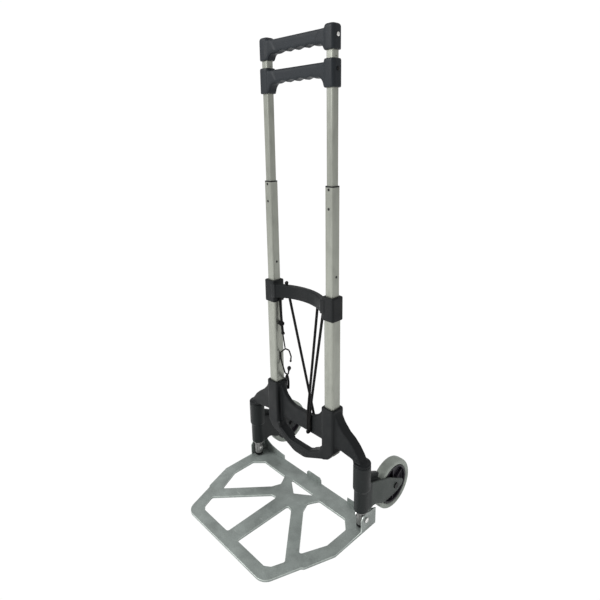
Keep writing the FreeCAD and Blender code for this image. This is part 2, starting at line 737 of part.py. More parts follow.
def make_leg(side, sign):
    """Upright leg: a tube that the swivel fork turns on, with a plastic foot."""
    body = new_body(f"leg_tube_{side}")
    ring = new_sketch(body, "leg_ring")
    draw_circle(ring, S.leg_radius)
    draw_circle(ring, S.leg_radius - S.leg_wall)
    pad(body, ring, S.collar_base + S.leg_seat - S.leg_base)
    hole = new_sketch(body, "rivet_hole", "YZ_Plane")
    draw_circle(hole, S.hinge_radius, 0, S.hinge_height - S.leg_base)
    pocket_through(body, hole)
    bind_place(body, LEG_X * sign, 0, S.leg_base)


def make_foot(side, sign):
    """Domed plug that just clears the toe plate while the plate turns on its rivets."""
    radius, base, hinge, wall = num(S.leg_radius, S.leg_base, S.hinge_height, S.leg_wall)
    dome = hinge - float(S.plate_deep) - 0.5
    foot = Part.makeCylinder(radius, base)
    foot = foot.common(Part.makeSphere(dome, V(0, 0, hinge)))
    plug = Part.makeCylinder(radius - wall - 0.05, 8, V(0, 0, base))
    free_part(f"leg_foot_{side}", foot.fuse(plug), x=sign * LEG_X.value)


def make_thrust_rings():
    """Rings pressed on the legs, which carry the swivel forks."""
    rings = []
    height = S.ring_height
    for side, sign in SIDES:
        place = (LEG_X * sign, 0, RING_BASE)
        outer = rod(f"ring_outer_{side}", S.sleeve_radius - 2, height, Z_AXIS, *place)
        inner = rod(f"ring_bore_{side}", S.leg_radius, height, Z_AXIS, *place)
        rings.append(cut(f"ring_{side}", outer, inner))
    group("thrust_rings", rings)


def make_spring(side, sign):
    """Torsion spring round the leg, inside the fork's housing."""
    wire, leg, gap = num(S.spring_wire, S.leg_radius, S.face_gap)
    coil = leg + gap + wire
    low = float(SPRING_FLOOR) + 2 * wire
    high = float(SLEEVE_TOP) - 2 * wire
    turns = math.floor((high - low) / (3.2 * wire))
    helix = Part.makeHelix((high - low) / turns, high - low, coil)
    circle = Part.makeCircle(wire, V(coil, 0, 0), Y_AXIS)
    spring = Part.Wire(helix.Edges).makePipeShell([Part.Wire([circle])], True, True)
    spring.translate(V(0, 0, low))
    free_part(f"fork_spring_{side}", spring, x=sign * LEG_X.value)


def make_hinge():
    """Rivets that the toe plate turns on, through the feet of the legs, with washers."""
    rivets = []
    washers = []
    head_x = S.plate_half + S.face_gap
    for side, sign in SIDES:
        toward = X_AXIS * sign
        inside = LEG_X - S.leg_radius - 3.5
        level = S.hinge_height
        shank = rod(f"shank_{side}", S.hinge_radius, head_x - inside, toward, inside * sign, 0, level)
        head = rod(f"head_{side}", S.hinge_radius + 1.8, 2.2, toward, head_x * sign, 0, level)
        tail = rod(f"tail_{side}", S.hinge_radius + 1.5, 1.5, toward, (inside + 1.9) * sign, 0, level)
        rivets.append(fused(f"rivet_{side}", [shank, head, tail]))
        near = LEG_X + S.leg_radius + S.face_gap
        disc = rod(f"disc_{side}", S.hinge_radius + 3, S.hinge_washer, toward, near * sign, 0, level)
        hole = rod(f"eye_{side}", S.hinge_radius, S.hinge_washer, toward, near * sign, 0, level)
        washers.append(cut(f"washer_{side}", disc, hole))
    group("hinge_rivets", rivets)
    group("hinge_washers", washers)


def make_screws(label, places, wall):
    """Pan-head screws at the back, through one moulded wall and the tube behind it."""
    screws = []
    for index, (x, y, z) in enumerate(places):
        shank = rod(f"{label}_shank_{index}", S.screw_radius, wall + 1, -Y_AXIS, x, y + 1, z)
        head = rod(f"{label}_head_{index}", S.screw_head, 2, Y_AXIS, x, y, z)
        screws.append(fused(f"{label}_{index}", [shank, head]))
    group(label, screws)


for side, sign in SIDES:
    make_leg(side, sign)
    make_foot(side, sign)
    make_spring(side, sign)
make_thrust_rings()
make_hinge()
make_screws("yoke_screws", [(TUBE_X * sign, S.socket_side / 2, YOKE_SCREW) for _, sign in SIDES],
            (S.socket_side - S.lower_side) / 2 + S.tube_wall)
make_screws("block_screws", [(TUBE_X * sign, S.block_side / 2, BLOCK_SCREW) for _, sign in SIDES],
            (S.block_side - S.lower_side) / 2 + S.tube_wall)


# ---------------------------------------------------------------- base: cords and hook

def make_cords():
    """Elastic cords between the crossbar and the yoke, six knots and a wire hook."""
    radius, wire = num(S.cord_radius, S.hook_wire)
    runs = cord_runs()
    turn = 12
    for name, points in runs.items():
        free_part(f"cord_{name}", bent_rod([(points[0], 0), (points[1], turn), (points[2], 0)], radius))
        print(f"cord_{name} bends with a radius of {turn} mm, {turn / radius:.1f} times its own")
    points = runs["outer_left"]
    knee = points[1]
    foot = runs["tail"]
    below = 2.4
    end = runs["inner_right"][2].z - radius - below - float(S.face_gap)
    thread = V(27.2, -float(S.web_thick / 2) - radius - below - 0.4, end)
    cords = [item.Shape.copy() for item in nodes if item.Label.startswith("cord_")]
    for cord in cords:
        cord.translate(V(0, -SHIFT.value, 0))
    knots = []
    for place, size in ((knee, 4.3), (points[2], 1.5), (foot[0] - V(0, 0, 3.6), 1.4), (foot[2], 0.5),
                        (thread, below)):
        knots.append(Part.makeSphere(radius + size, place).cut(cords))
    top = runs["inner_left"][0]
    bar = float(BAR_BASE + S.bar_height + S.face_gap)
    room = Part.makeBox(20, 20, 20, V(top.x - 10, top.y - 10, bar))
    knots.append(Part.makeSphere(radius + 2.3, top).common(room).cut(cords))
    free_part("cord_knots", Part.makeCompound(knots))

    rim = foot[0].z
    hook = [(-42, 43.5), (-40, 55.5), (-47, 69.5), (-60, 69.5), (-77.4, 54.5), (-76.6, 34.5), (-63, 3.5),
            (-52, 4.5), (-48, 22.5)]
    free_part("cord_hook", bent_rod([(V(x, 0, rim + z), 4) for x, z in hook], wire))
    loop = [points[2] - V(0, 0, radius + 1.8), V(-61, 0, rim + 69.8 + wire)]
    free_part("cord_hook_loop", drill(wire - 0.2, loop[0], loop[1]))


make_cords()


# ---------------------------------------------------------------- handles

def make_handle(label, sleeve, rounding, base, crown, bar_base, grip, open_top):
    """Grip bar between two sleeves on the upper tubes, with finger grooves underneath."""
    tube, upper, wall, gap = num(TUBE_X, UPPER_SIDE, S.crown_wall, S.run_gap)
    side, base, crown, low, high = num(sleeve, base, crown, bar_base, bar_base + grip)
    deep, pitch, groove = num(S.grip_depth, S.finger_pitch, S.finger_depth)
    bar = Part.makeBox(2 * tube, deep, high - low, V(-tube, -deep / 2, low))
    bar = bar.makeFillet(6, [edge for edge in bar.Edges if edge.BoundBox.XLength > 1])
    curve = (pitch * pitch / 4 + groove * groove) / (2 * groove)
    dips = []
    for index in range(4):
        x = (index - 1.5) * pitch
        dips.append(drill(curve, V(x, -deep, low + groove - curve), V(x, deep, low + groove - curve)))
    bar = bar.cut(dips)
    parts = []
    holes = []
    bore_top = crown + 1 if open_top else crown - wall
    for sign in (-1, 1):
        column = square_block(sleeve, rounding, base, crown - base)
        lid = [edge for edge in column.Edges if edge.BoundBox.ZMin > crown - 0.001]
        column = column.makeChamfer(1.5, lid) if open_top else column.makeFillet(float(S.crown_round), lid)
        column.translate(V(sign * tube, 0, 0))
        parts.append(column)
        inside = tube - side / 2
        gusset = prism([
            (sign * (inside + 4), high - 1, 0),
            (sign * (inside + 4), base + 1, 0),
            (sign * (inside - 0.5), base + 1, 3),
            (sign * (inside - 5), low, low - base),
            (sign * (inside - 27), low + 3, 0),
            (sign * (inside - 11), high - 1, 0),
        ], "XZ", -deep / 2 - 1, deep / 2 + 1)
        parts.append(ease_rims(gusset, Y_AXIS, 2))
        bore = square_block(upper + 2 * gap, S.upper_round, base - 1, bore_top - base + 1)
        bore.translate(V(sign * tube, 0, 0))
        holes.append(bore)
        middle = (low + high) / 2
        toward = sign * (tube + side)
        holes.append(drill(float(S.screw_radius + gap), V(sign * tube, 0, middle), V(toward, 0, middle)))
    free_part(label, bar.fuse(parts).cut(holes))


def make_rivets(label, sleeve, level):
    """Rivets that hold a handle's sleeves on the upper tubes, from the outer sides."""
    rivets = []
    wall = (sleeve - UPPER_SIDE) / 2 + S.tube_wall
    for side, sign in SIDES:
        face = TUBE_X + sleeve / 2
        toward = X_AXIS * sign
        shank = rod(f"{label}_shank_{side}", S.screw_radius, wall + 1.5, toward, (face - wall - 1) * sign,
                    0, level)
        head = rod(f"{label}_head_{side}", S.screw_head, 1.2, toward, face * sign, 0, level)
        rivets.append(fused(f"{label}_{side}", [shank, head]))
    group(label, rivets)


make_handle("top_handle", S.top_sleeve, S.top_round, TOP_BASE, S.top_crown, TOP_BAR, S.top_grip, False)
make_handle("lower_handle", S.low_sleeve, S.low_round, LOW_BASE, LOW_CROWN, LOW_BAR, S.low_grip, True)
make_rivets("top_rivets", S.top_sleeve, TOP_RIVET)
make_rivets("lower_rivets", S.low_sleeve, LOW_RIVET)


# ---------------------------------------------------------------- swivel forks

def make_fork(side, sign):
    """Fork that swivels on the leg and holds the wheel between two cheeks."""
    leg, trail, height = num(LEG_X, S.wheel_trail, S.wheel_radius)
    base, neck, top = num(S.sleeve_base, S.spring_house, SLEEVE_TOP)
    slim, stout, chamber = num(S.sleeve_radius, S.house_radius, HOUSE_BORE)
    near, far, reach = num(CHEEK_IN, CHEEK_OUT, S.cheek_reach)
    clear = height + 2.5
    cheek = [
        (0, base + 8, 0),
        (14, base + 8, 4),
        (34, base + 4.5, 8),
        (52, height - 18, 8),
        (66, height - 21.5, 10),
        (trail + 8, height - 18.5, 14),
        (trail + reach, height - 9, 8),
        (trail + reach, height + 3, 5),
        (trail - 25, height + 35, 40),
        (10, top - 43.5, 4),
        (0, top - 43.5, 0),
    ]
    raised = cheek[:8] + [(45, top - 53.5, 25), (8, top - 40.5, 10), (0, top - 40.5, 0)]
    outer = prism(cheek, "YZ", near, far)
    inner = prism(raised, "YZ", -far, -near)
    web = prism([
        (0, base, 0),
        (slim, base, 0),
        (34, base + 5, 0),
        (50, height - 16, 0),
        (56, top - 62, 0),
        (0, top - 41.5, 0),
    ], "YZ", -near - 1, near + 1)
    rib = prism([(0, base + 50, 0), (50, base + 50, 0), (55, top - 48, 0), (28, top - 33.5, 6), (0, top - 33.5, 0)],
                "YZ", -5, 5)
    hollow = drill(clear, V(-near, trail, height), V(near, trail, height))
    wide = drill(clear, V(-2 * far, trail, height), V(2 * far, trail, height))
    web = web.fuse(rib).cut(wide)
    sleeve = Part.makeCylinder(slim, neck - base, V(0, 0, base))
    house = Part.makeCylinder(stout, top - neck, V(0, 0, neck))
    house = house.makeChamfer(1, [edge for edge in house.Edges if edge.BoundBox.ZLength < 0.001])
    body = web.fuse([outer, inner, sleeve, house])
    bore = Part.makeCylinder(float(S.leg_radius + S.run_gap), top, V())
    room = Part.makeCylinder(chamber, top, V(0, 0, float(SPRING_FLOOR)))
    hole = drill(float(SHAFT_BORE), V(-2 * far, trail, height), V(2 * far, trail, height))
    body = body.cut([hollow, bore, room, hole])
    free_part(f"swivel_fork_{side}", body, mirror=sign < 0, x=sign * leg)


# ---------------------------------------------------------------- wheels

def make_wheel(side, sign):
    """Tyre, recessed hub, plain bearing, axle and clip of one wheel."""
    place = (LEG_X * sign, S.wheel_trail, S.wheel_radius)
    half = WHEEL_HALF
    shoulder = S.wheel_radius - 5
    revolved(f"tyre_{side}", [
        (-half, S.rim_radius), (half, S.rim_radius), (half, shoulder), (half - 1.5, S.wheel_radius - 1.8),
        (half - 5, S.wheel_radius), (-half + 5, S.wheel_radius), (-half + 1.5, S.wheel_radius - 1.8),
        (-half, shoulder),
    ], *place)
    bearing = SHAFT_BORE + S.bush_wall
    barrel = S.rim_radius - 4
    lip = half - 1
    revolved(f"wheel_hub_{side}", [
        (-lip, barrel), (-S.hub_web, barrel), (-S.hub_web, S.hub_boss), (-lip, S.hub_boss), (-lip, bearing),
        (lip, bearing), (lip, S.hub_boss), (S.hub_web, S.hub_boss), (S.hub_web, barrel), (lip, barrel),
        (lip, S.rim_radius), (-lip, S.rim_radius),
    ], *place)
    reach = CHEEK_IN - S.face_gap
    revolved(f"wheel_bushing_{side}", [
        (-reach, SHAFT_BORE), (reach, SHAFT_BORE), (reach, bearing), (-reach, bearing),
    ], *place)
    head = CHEEK_OUT + 0.1
    tail = CHEEK_OUT + 4
    x, y, z = place
    shank = rod(f"axle_shank_{side}", S.axle_radius, head + tail, X_AXIS * sign, (LEG_X - tail) * sign, y, z)
    cap = rod(f"axle_cap_{side}", S.axle_radius + 3, 2.4, X_AXIS * sign, (LEG_X + head) * sign, y, z)
    keep(fused(f"wheel_axle_{side}", [shank, cap]), f"wheel_axle_{side}")
    clip_at = (LEG_X - CHEEK_OUT - 1.6) * sign
    disc = rod(f"clip_disc_{side}", S.axle_radius + 2.5, 1.2, X_AXIS * sign, clip_at, y, z)
    eye = rod(f"clip_eye_{side}", S.axle_radius, 1.2, X_AXIS * sign, clip_at, y, z)
    keep(cut(f"axle_clip_{side}", disc, eye), f"axle_clip_{side}")


for side, sign in SIDES:
    make_fork(side, sign)
    make_wheel(side, sign)


# ---------------------------------------------------------------- toe plate

def make_toe_plate():
    """Pressed sheet toe plate with windows, a turned-up back edge and hinge ears."""
    body = new_body("toe_plate")
    half, back, reach, sheet_wall = S.plate_half, S.plate_back, S.plate_reach, S.plate_sheet
    outline = new_sketch(body, "plate_outline")
    draw_outline(outline, mirrored([
        (half, back), (half, -S.plate_flare), (PLATE_WAIST + 5, -PLATE_NECK),
        (PLATE_WAIST, -PLATE_NECK - 4), (PLATE_NOSE, -reach),
    ]))
    front = [
        (20, -PLATE_NECK + 92), (35, -PLATE_NECK + 89), (half - 63, -PLATE_NECK - 18),
        (half - 74, -reach + 37), (half - 86, -reach + 28), (18, -reach + 28),
    ]
    rear = [
        (62, -12), (half - 53, -11), (half - 30, -34), (half - 30, -S.plate_flare + 7),
        (half - 56, -S.plate_flare - 51), (57, -60), (48, -38), (53, -28),
    ]
    for corners in (front, rear):
        draw_outline(outline, corners)
        draw_outline(outline, [(-x, y) for x, y in corners])
    peak_half, peak_top, peak_base = 42, -7.5, -38
    draw_outline(outline, [(-peak_half, peak_top), (peak_half, peak_top), (0, peak_base)])
    blank = pad(body, outline, S.plate_deep)
    doc.recompute()

    def upright_edges(shape, test):
        names = []
        for index, edge in enumerate(shape.Edges, start=1):
            box = edge.BoundBox
            if box.ZLength > 1 and box.XLength < 0.01 and box.YLength < 0.01 and test(box.Center):
                names.append(f"Edge{index}")
        return names

    def at_nose(centre):
        return centre.y < -reach.value + 0.5

    def at_peak(centre):
        return abs(centre.x) < peak_half + 1 and centre.y > peak_base - 1

    def inside_or_side(centre):
        return not at_nose(centre) and not at_peak(centre) and centre.y < back.value - 0.5

    nose = body.newObject("PartDesign::Fillet", "nose_corners")
    nose.Base = (blank, upright_edges(blank.Shape, at_nose))
    nose.setExpression("Radius", S.nose_round.text)
    doc.recompute()
    corners = body.newObject("PartDesign::Fillet", "window_corners")
    corners.Base = (nose, upright_edges(nose.Shape, inside_or_side))
    corners.Radius = 5
    doc.recompute()
    peaks = body.newObject("PartDesign::Fillet", "middle_window_corners")
    peaks.Base = (corners, upright_edges(corners.Shape, at_peak))
    peaks.Radius = 2.5
    doc.recompute()
    under = [f"Face{index}" for index, face in enumerate(peaks.Shape.Faces, start=1)
             if face.BoundBox.ZMax < 0.01]
    shell = body.newObject("PartDesign::Thickness", "pressed_skin")
    shell.Base = (peaks, under)
    shell.setExpression("Value", sheet_wall.text)
    shell.Reversed = True
    shell.Join = 0

    for label, level in (("left", -half), ("right", half - sheet_wall)):
        ear = new_sketch(body, f"ear_{label}", "YZ_Plane", level)
        rise, hinge = EAR_ROUND, S.hinge_height
        draw_outline(ear, [
            (-rise, 1), (-rise, hinge + 4), (-rise + 5, hinge + rise - 4), (-rise + 13, hinge + rise),
            (rise - 13, hinge + rise), (rise - 4, hinge + rise - 1), (back, hinge + 12), (back, 1),
        ])
        pad(body, ear, sheet_wall)
    edge = new_sketch(body, "back_edge", "XZ_Plane", -back)
    inner = half - 83
    for sign in (-1, 1):
        draw_outline(edge, [
            (half * sign, 1), (half * sign, S.hinge_height + 12), (half * sign - 5 * sign, S.hinge_height + 9),
            (half * sign - 16 * sign, S.hinge_height + 0.5), (half * sign - 30 * sign, S.hinge_height - 6),
            (half * sign - 45 * sign, 20), (inner * sign + 13 * sign, 17), (inner * sign, 17), (inner * sign, 1),
        ])
    draw_outline(edge, [(-25, 1), (25, 1), (25, 15), (20, 20), (-20, 20), (-25, 15)])
    pad(body, edge, sheet_wall)
    eye = new_sketch(body, "hinge_eyes", "YZ_Plane")
    draw_circle(eye, S.hinge_radius + S.run_gap, 0, S.hinge_height)
    pocket_through(body, eye)
    bind_place(body, 0, 0, 0)


make_toe_plate()


# ---------------------------------------------------------------- check and write

doc.recompute()
for item in doc.Objects:
    if "Invalid" in item.State or "Error" in item.State:
        raise RuntimeError(f"{item.Label} failed: {item.State}")
for item in nodes:
    if item.Shape.isNull() or not item.Shape.isValid():
        raise RuntimeError(f"{item.Label} has no valid shape")

os.makedirs("parts", exist_ok=True)
for item in nodes:
    item.Shape.exportStep(f"parts/{item.Label}.step")
print(len(nodes), "sub-parts written")
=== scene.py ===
import json
import math

import bmesh
import bpy
from bpy.props import FloatProperty, FloatVectorProperty, IntProperty, PointerProperty
from mathutils import Matrix, Vector


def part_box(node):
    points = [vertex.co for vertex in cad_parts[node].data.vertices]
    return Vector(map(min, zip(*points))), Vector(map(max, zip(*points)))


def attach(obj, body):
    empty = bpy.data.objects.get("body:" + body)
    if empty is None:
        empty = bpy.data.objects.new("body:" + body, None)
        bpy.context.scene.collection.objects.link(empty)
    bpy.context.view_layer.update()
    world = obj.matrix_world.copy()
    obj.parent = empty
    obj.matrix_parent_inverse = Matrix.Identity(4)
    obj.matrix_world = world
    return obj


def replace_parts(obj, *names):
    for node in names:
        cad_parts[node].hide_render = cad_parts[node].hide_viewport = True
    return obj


bl_info = {
    "name": "Folding Hand Truck",
    "version": (1, 0, 0),
    "blender": (4, 5, 0),
    "location": "View3D > Sidebar > Hand Truck",
    "description": "Dresses the hand truck's fixed frame with its mouldings, tubes, wheels and cords",
    "category": "Object",
}

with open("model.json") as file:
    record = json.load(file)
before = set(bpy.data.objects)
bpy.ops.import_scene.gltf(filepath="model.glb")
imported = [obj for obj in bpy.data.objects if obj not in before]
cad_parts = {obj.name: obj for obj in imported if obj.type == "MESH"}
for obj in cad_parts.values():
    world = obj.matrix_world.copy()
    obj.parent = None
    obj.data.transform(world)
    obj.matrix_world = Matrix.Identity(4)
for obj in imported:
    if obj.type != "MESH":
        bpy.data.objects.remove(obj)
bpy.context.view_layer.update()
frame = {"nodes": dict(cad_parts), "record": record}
SIDES = (("left", -1), ("right", 1))
MM = 0.001
WELD = 0.01 * MM

# places on the frame, in metres, taken from its own parts
TUBE_LOW, TUBE_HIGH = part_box("lower_tube_right")
TUBE_X = (TUBE_LOW.x + TUBE_HIGH.x) / 2
TUBE_Y = (TUBE_LOW.y + TUBE_HIGH.y) / 2
LEG_LOW, LEG_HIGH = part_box("leg_tube_right")
LEG_X = (LEG_LOW.x + LEG_HIGH.x) / 2
TYRE_LOW, TYRE_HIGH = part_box("tyre_right")
WHEEL = (TYRE_LOW + TYRE_HIGH) / 2


def at(x, y, z):
    """A place in metres from millimetres about the middle of the two tubes, at floor level."""
    return Vector((x * MM, TUBE_Y + y * MM, z * MM))


# the elastic cords: their radius, and the points that steer each one
CORD_RADIUS = 3.1 * MM
CORD_RUNS = {
    "cord_outer_left": [at(-75, 0, 496), at(-71.6, 0, 420), at(-67, 0, 396)],
    "cord_inner_left": [at(-53, 3, 523.2), at(18.2, 9.05, 241.2), at(26, 9.7, 210), at(31, 9.7, 190)],
    "cord_inner_right": [at(46, 4, 496), at(26.6, -8.08, 253.9), at(24, -9.7, 222), at(24, -9.7, 184)],
    "cord_outer_right": [
        at(74.5, -7.5, 496), at(35.5, -9.45, 253.6), at(30.4, -9.7, 222), at(30.4, -9.7, 184),
    ],
    "cord_tail": [at(-56.5, 0, 288.5), at(-75, 22.2, 262), at(-78, 22.2, 238)],
}

# knots: middle and radius
KNOTS = [
    (at(-71.6, 0, 420), 7.4 * MM), (at(-67, 0, 396), 4.6 * MM), (at(-56.5, 0, 284.9), 4.5 * MM),
    (at(-78, 22.2, 238), 3.6 * MM), (at(27.2, -11.9, 178.2), 5.5 * MM), (at(-53, 3, 524.0), 4.6 * MM),
]
WRAP_TILTS = (34, -38, 78)

# tips of the wire hook: middle, lean in degrees and radius
HOOK_TIPS = [(at(-48, 0, 311), 12.5, 4.8 * MM), (at(-42, 0, 332), 189.4, 2.7 * MM)]

# how far the lugs in front and the plug at the side lie below the middle tubes' tops
LUG_DROPS = (4.5 * MM, 42.5 * MM)
PLUG_DROP = 182.5 * MM
LUG_PROUD, LUG_THICK = 0.1 * MM, 0.6 * MM

# toe plate: its upper face, and the angle in radians past which a rim is rounded
PLATE_TOP = 5 * MM
RIM_ANGLE = 1.2

# wheels: points round a tyre's section, steps round the axle, and the hub's inner sizes
TYRE_POINTS, TYRE_STEPS, HUB_STEPS = 40, 120, 96
HUB_WALL = 4 * MM
HUB_HALF_DISC, HUB_BOSS, HUB_BORE = 3 * MM, 12 * MM, 6.06 * MM
RIB_THICK, RIB_INSET, RIB_ROOT = 3.2 * MM, 2.5 * MM, 1 * MM

# fasteners' heads: how flat their domes are, and their share of the head's radius
DOME_HEIGHT, DOME_SHARE = 0.26, 0.98

# part, body, finish and slot
MOULDINGS = [
    ("base_yoke", "base_frame", "moulding", "moulded_plastic"),
    ("crossbar", "base_frame", "moulding", "moulded_plastic"),
    ("top_handle", "handle_stage", "grip", "moulded_plastic"),
    ("lower_handle", "handle_stage", "grip", "moulded_plastic"),
    ("swivel_fork_left", "wheel_arm_left", "fork", "fork_plastic"),
    ("swivel_fork_right", "wheel_arm_right", "fork", "fork_plastic"),
]

# part, body, finish and the axis that the heads face along
FASTENERS = [
    ("top_rivets", "handle_stage", "steel", "x"),
    ("lower_rivets", "handle_stage", "black", "x"),
    ("hinge_rivets", "base_frame", "steel", "x"),
    ("yoke_screws", "base_frame", "steel", "y"),
    ("block_screws", "base_frame", "steel", "y"),
]

# the finish of each slot, and of the parts that differ from their slot
SLOT_FINISHES = {
    "tube_aluminium": "tube", "moulded_plastic": "moulding", "fork_plastic": "fork",
    "bushing_plastic": "black", "fastener_steel": "steel", "leg_steel": "leg",
    "wire_steel": "wire", "cord_fabric": "cord", "plate_metal": "plate",
    "tyre_rubber": "tyre", "hub_plastic": "hub",
}
PART_FINISHES = {
    "lower_rivets": "black", "wheel_axle_left": "black", "wheel_axle_right": "black",
    "axle_clip_left": "black", "axle_clip_right": "black",
    "hinge_washers": "leg", "thrust_rings": "leg",
}

# camera: place in metres, turn (yaw, dip and roll in degrees), shift and sensor width
CAMERA_PLACE = (0.74846, -0.66677, 0.85464)
CAMERA_TURN = (46.11, 15.23, -0.83)
CAMERA_SHIFT = (-0.0079, -0.0563)
SENSOR_WIDTH = 36
WHITE = (1, 1, 1, 1)


def paint(red, green, blue):
    """A linear colour from everyday 0 to 255 values."""
    return tuple((value / 255) ** 2.2 for value in (red, green, blue))


class TruckFinishes(bpy.types.PropertyGroup):
    tube: FloatVectorProperty(
        name="Tube", description="Satin anodised aluminium of the tubes",
        subtype="COLOR", default=paint(120, 122, 115), min=0, max=1)
    moulding: FloatVectorProperty(
        name="Moulding", description="Charcoal plastic of the yoke and crossbar",
        subtype="COLOR", default=paint(19, 21, 22), min=0, max=1)
    grip: FloatVectorProperty(
        name="Grip", description="Slightly paler plastic of the two grips",
        subtype="COLOR", default=paint(29, 32, 35), min=0, max=1)
    fork: FloatVectorProperty(
        name="Fork", description="Dark grey plastic of the swivel forks",
        subtype="COLOR", default=paint(26, 29, 29), min=0, max=1)
    cheek: FloatVectorProperty(
        name="Cheek", description="Dustier grey of the forks' outer sides, beside the wheels",
        subtype="COLOR", default=paint(52, 56, 54), min=0, max=1)
    black: FloatVectorProperty(
        name="Black parts", description="Plastic of bushings, feet, lugs and axle ends",
        subtype="COLOR", default=paint(18, 18, 19), min=0, max=1)
    hub: FloatVectorProperty(
        name="Hub", description="Black plastic of the wheel hubs",
        subtype="COLOR", default=paint(33, 31, 36), min=0, max=1)
    plate: FloatVectorProperty(
        name="Toe plate", description="Mottled grey-green coat of the toe plate",
        subtype="COLOR", default=paint(112, 118, 115), min=0, max=1)
    # The worn colour is bare metal in the scratches; on the toe plate's rounded rims it is partly wear and
    # partly painted highlight.
    wear_and_highlight: FloatVectorProperty(
        name="Worn edge", description="Bare metal on the toe plate's edges",
        subtype="COLOR", default=paint(160, 167, 162), min=0, max=1)
    tyre: FloatVectorProperty(
        name="Tyre", description="Grey solid tyre",
        subtype="COLOR", default=paint(117, 122, 116), min=0, max=1)
    steel: FloatVectorProperty(
        name="Bright steel", description="Zinc plate of rivets and screws, and darker on the legs",
        subtype="COLOR", default=paint(190, 190, 188), min=0, max=1)
    wire: FloatVectorProperty(
        name="Dark wire", description="Drawn wire of the hook and the springs",
        subtype="COLOR", default=paint(26, 25, 24), min=0, max=1)
    cord: FloatVectorProperty(
        name="Cord", description="Woven sheath of the elastic cords",
        subtype="COLOR", default=paint(11, 10, 10), min=0, max=1)


class TruckSizes(bpy.types.PropertyGroup):
    yoke_grain: FloatProperty(
        name="Yoke grain", description="Mesh size of the yoke's moulded skin",
        default=1.5 * MM, min=0.8 * MM, unit="LENGTH")
    moulding_grain: FloatProperty(
        name="Moulding grain", description="Mesh size of the smaller mouldings' skins",
        default=1.1 * MM, min=0.6 * MM, unit="LENGTH")
    easing: IntProperty(
        name="Easing", description="How often a moulding's edges are eased",
        default=4, min=0, max=20)
    grip_easing: IntProperty(
        name="Grip easing", description="How often the two grips' edges are eased",
        default=12, min=0, max=40)
    rim_rounding: FloatProperty(
        name="Rim rounding", description="Width of the rounded rims of the toe plate",
        default=0.9 * MM, min=0.2 * MM, max=2 * MM, unit="LENGTH")
    tyre_square: FloatProperty(
        name="Tyre squareness", description="2 is a round tyre and higher numbers are squarer",
        default=3.4, min=2, max=8)
    lug_radius: FloatProperty(
        name="Lug radius", description="Radius of the dark lugs in the middle tubes",
        default=2.8 * MM, min=1 * MM, max=4 * MM, unit="LENGTH")
    hub_ribs: IntProperty(
        name="Hub ribs", description="Ribs on each face of a hub", default=6, min=3, max=12)


class TruckStage(bpy.types.PropertyGroup):
    floor_size: FloatProperty(
        name="Floor size", description="Length of the floor's sides",
        default=80, min=2, unit="LENGTH")
    floor_tone: FloatProperty(
        name="Floor tone", description="How pale the floor is", default=0.95, min=0, max=1)
    floor_glow: FloatProperty(
        name="Floor glow", description="Light that the floor gives off, which hides its shadows",
        default=0.35, min=0)
    sky: FloatProperty(
        name="Sky", description="Strength of the even light all round", default=0.95, min=0)
    white: FloatProperty(
        name="White", description="How bright the floor and the sky look from the camera",
        default=1.02, min=0)
    key: FloatProperty(
        name="Key light", description="Power of the large light from the front left",
        default=100, min=0, unit="POWER")
    fill: FloatProperty(
        name="Fill light", description="Power of the light from the right",
        default=3, min=0, unit="POWER")
    lens: FloatProperty(
        name="Lens", description="Focal length of the camera", default=29.2, min=5, unit="CAMERA")


# ---------------------------------------------------------------- finishes

def feed(socket, value):
    """Gives a node's socket a constant or a link."""
    if isinstance(value, bpy.types.NodeSocket):
        socket.id_data.links.new(value, socket)
    else:
        socket.default_value = value


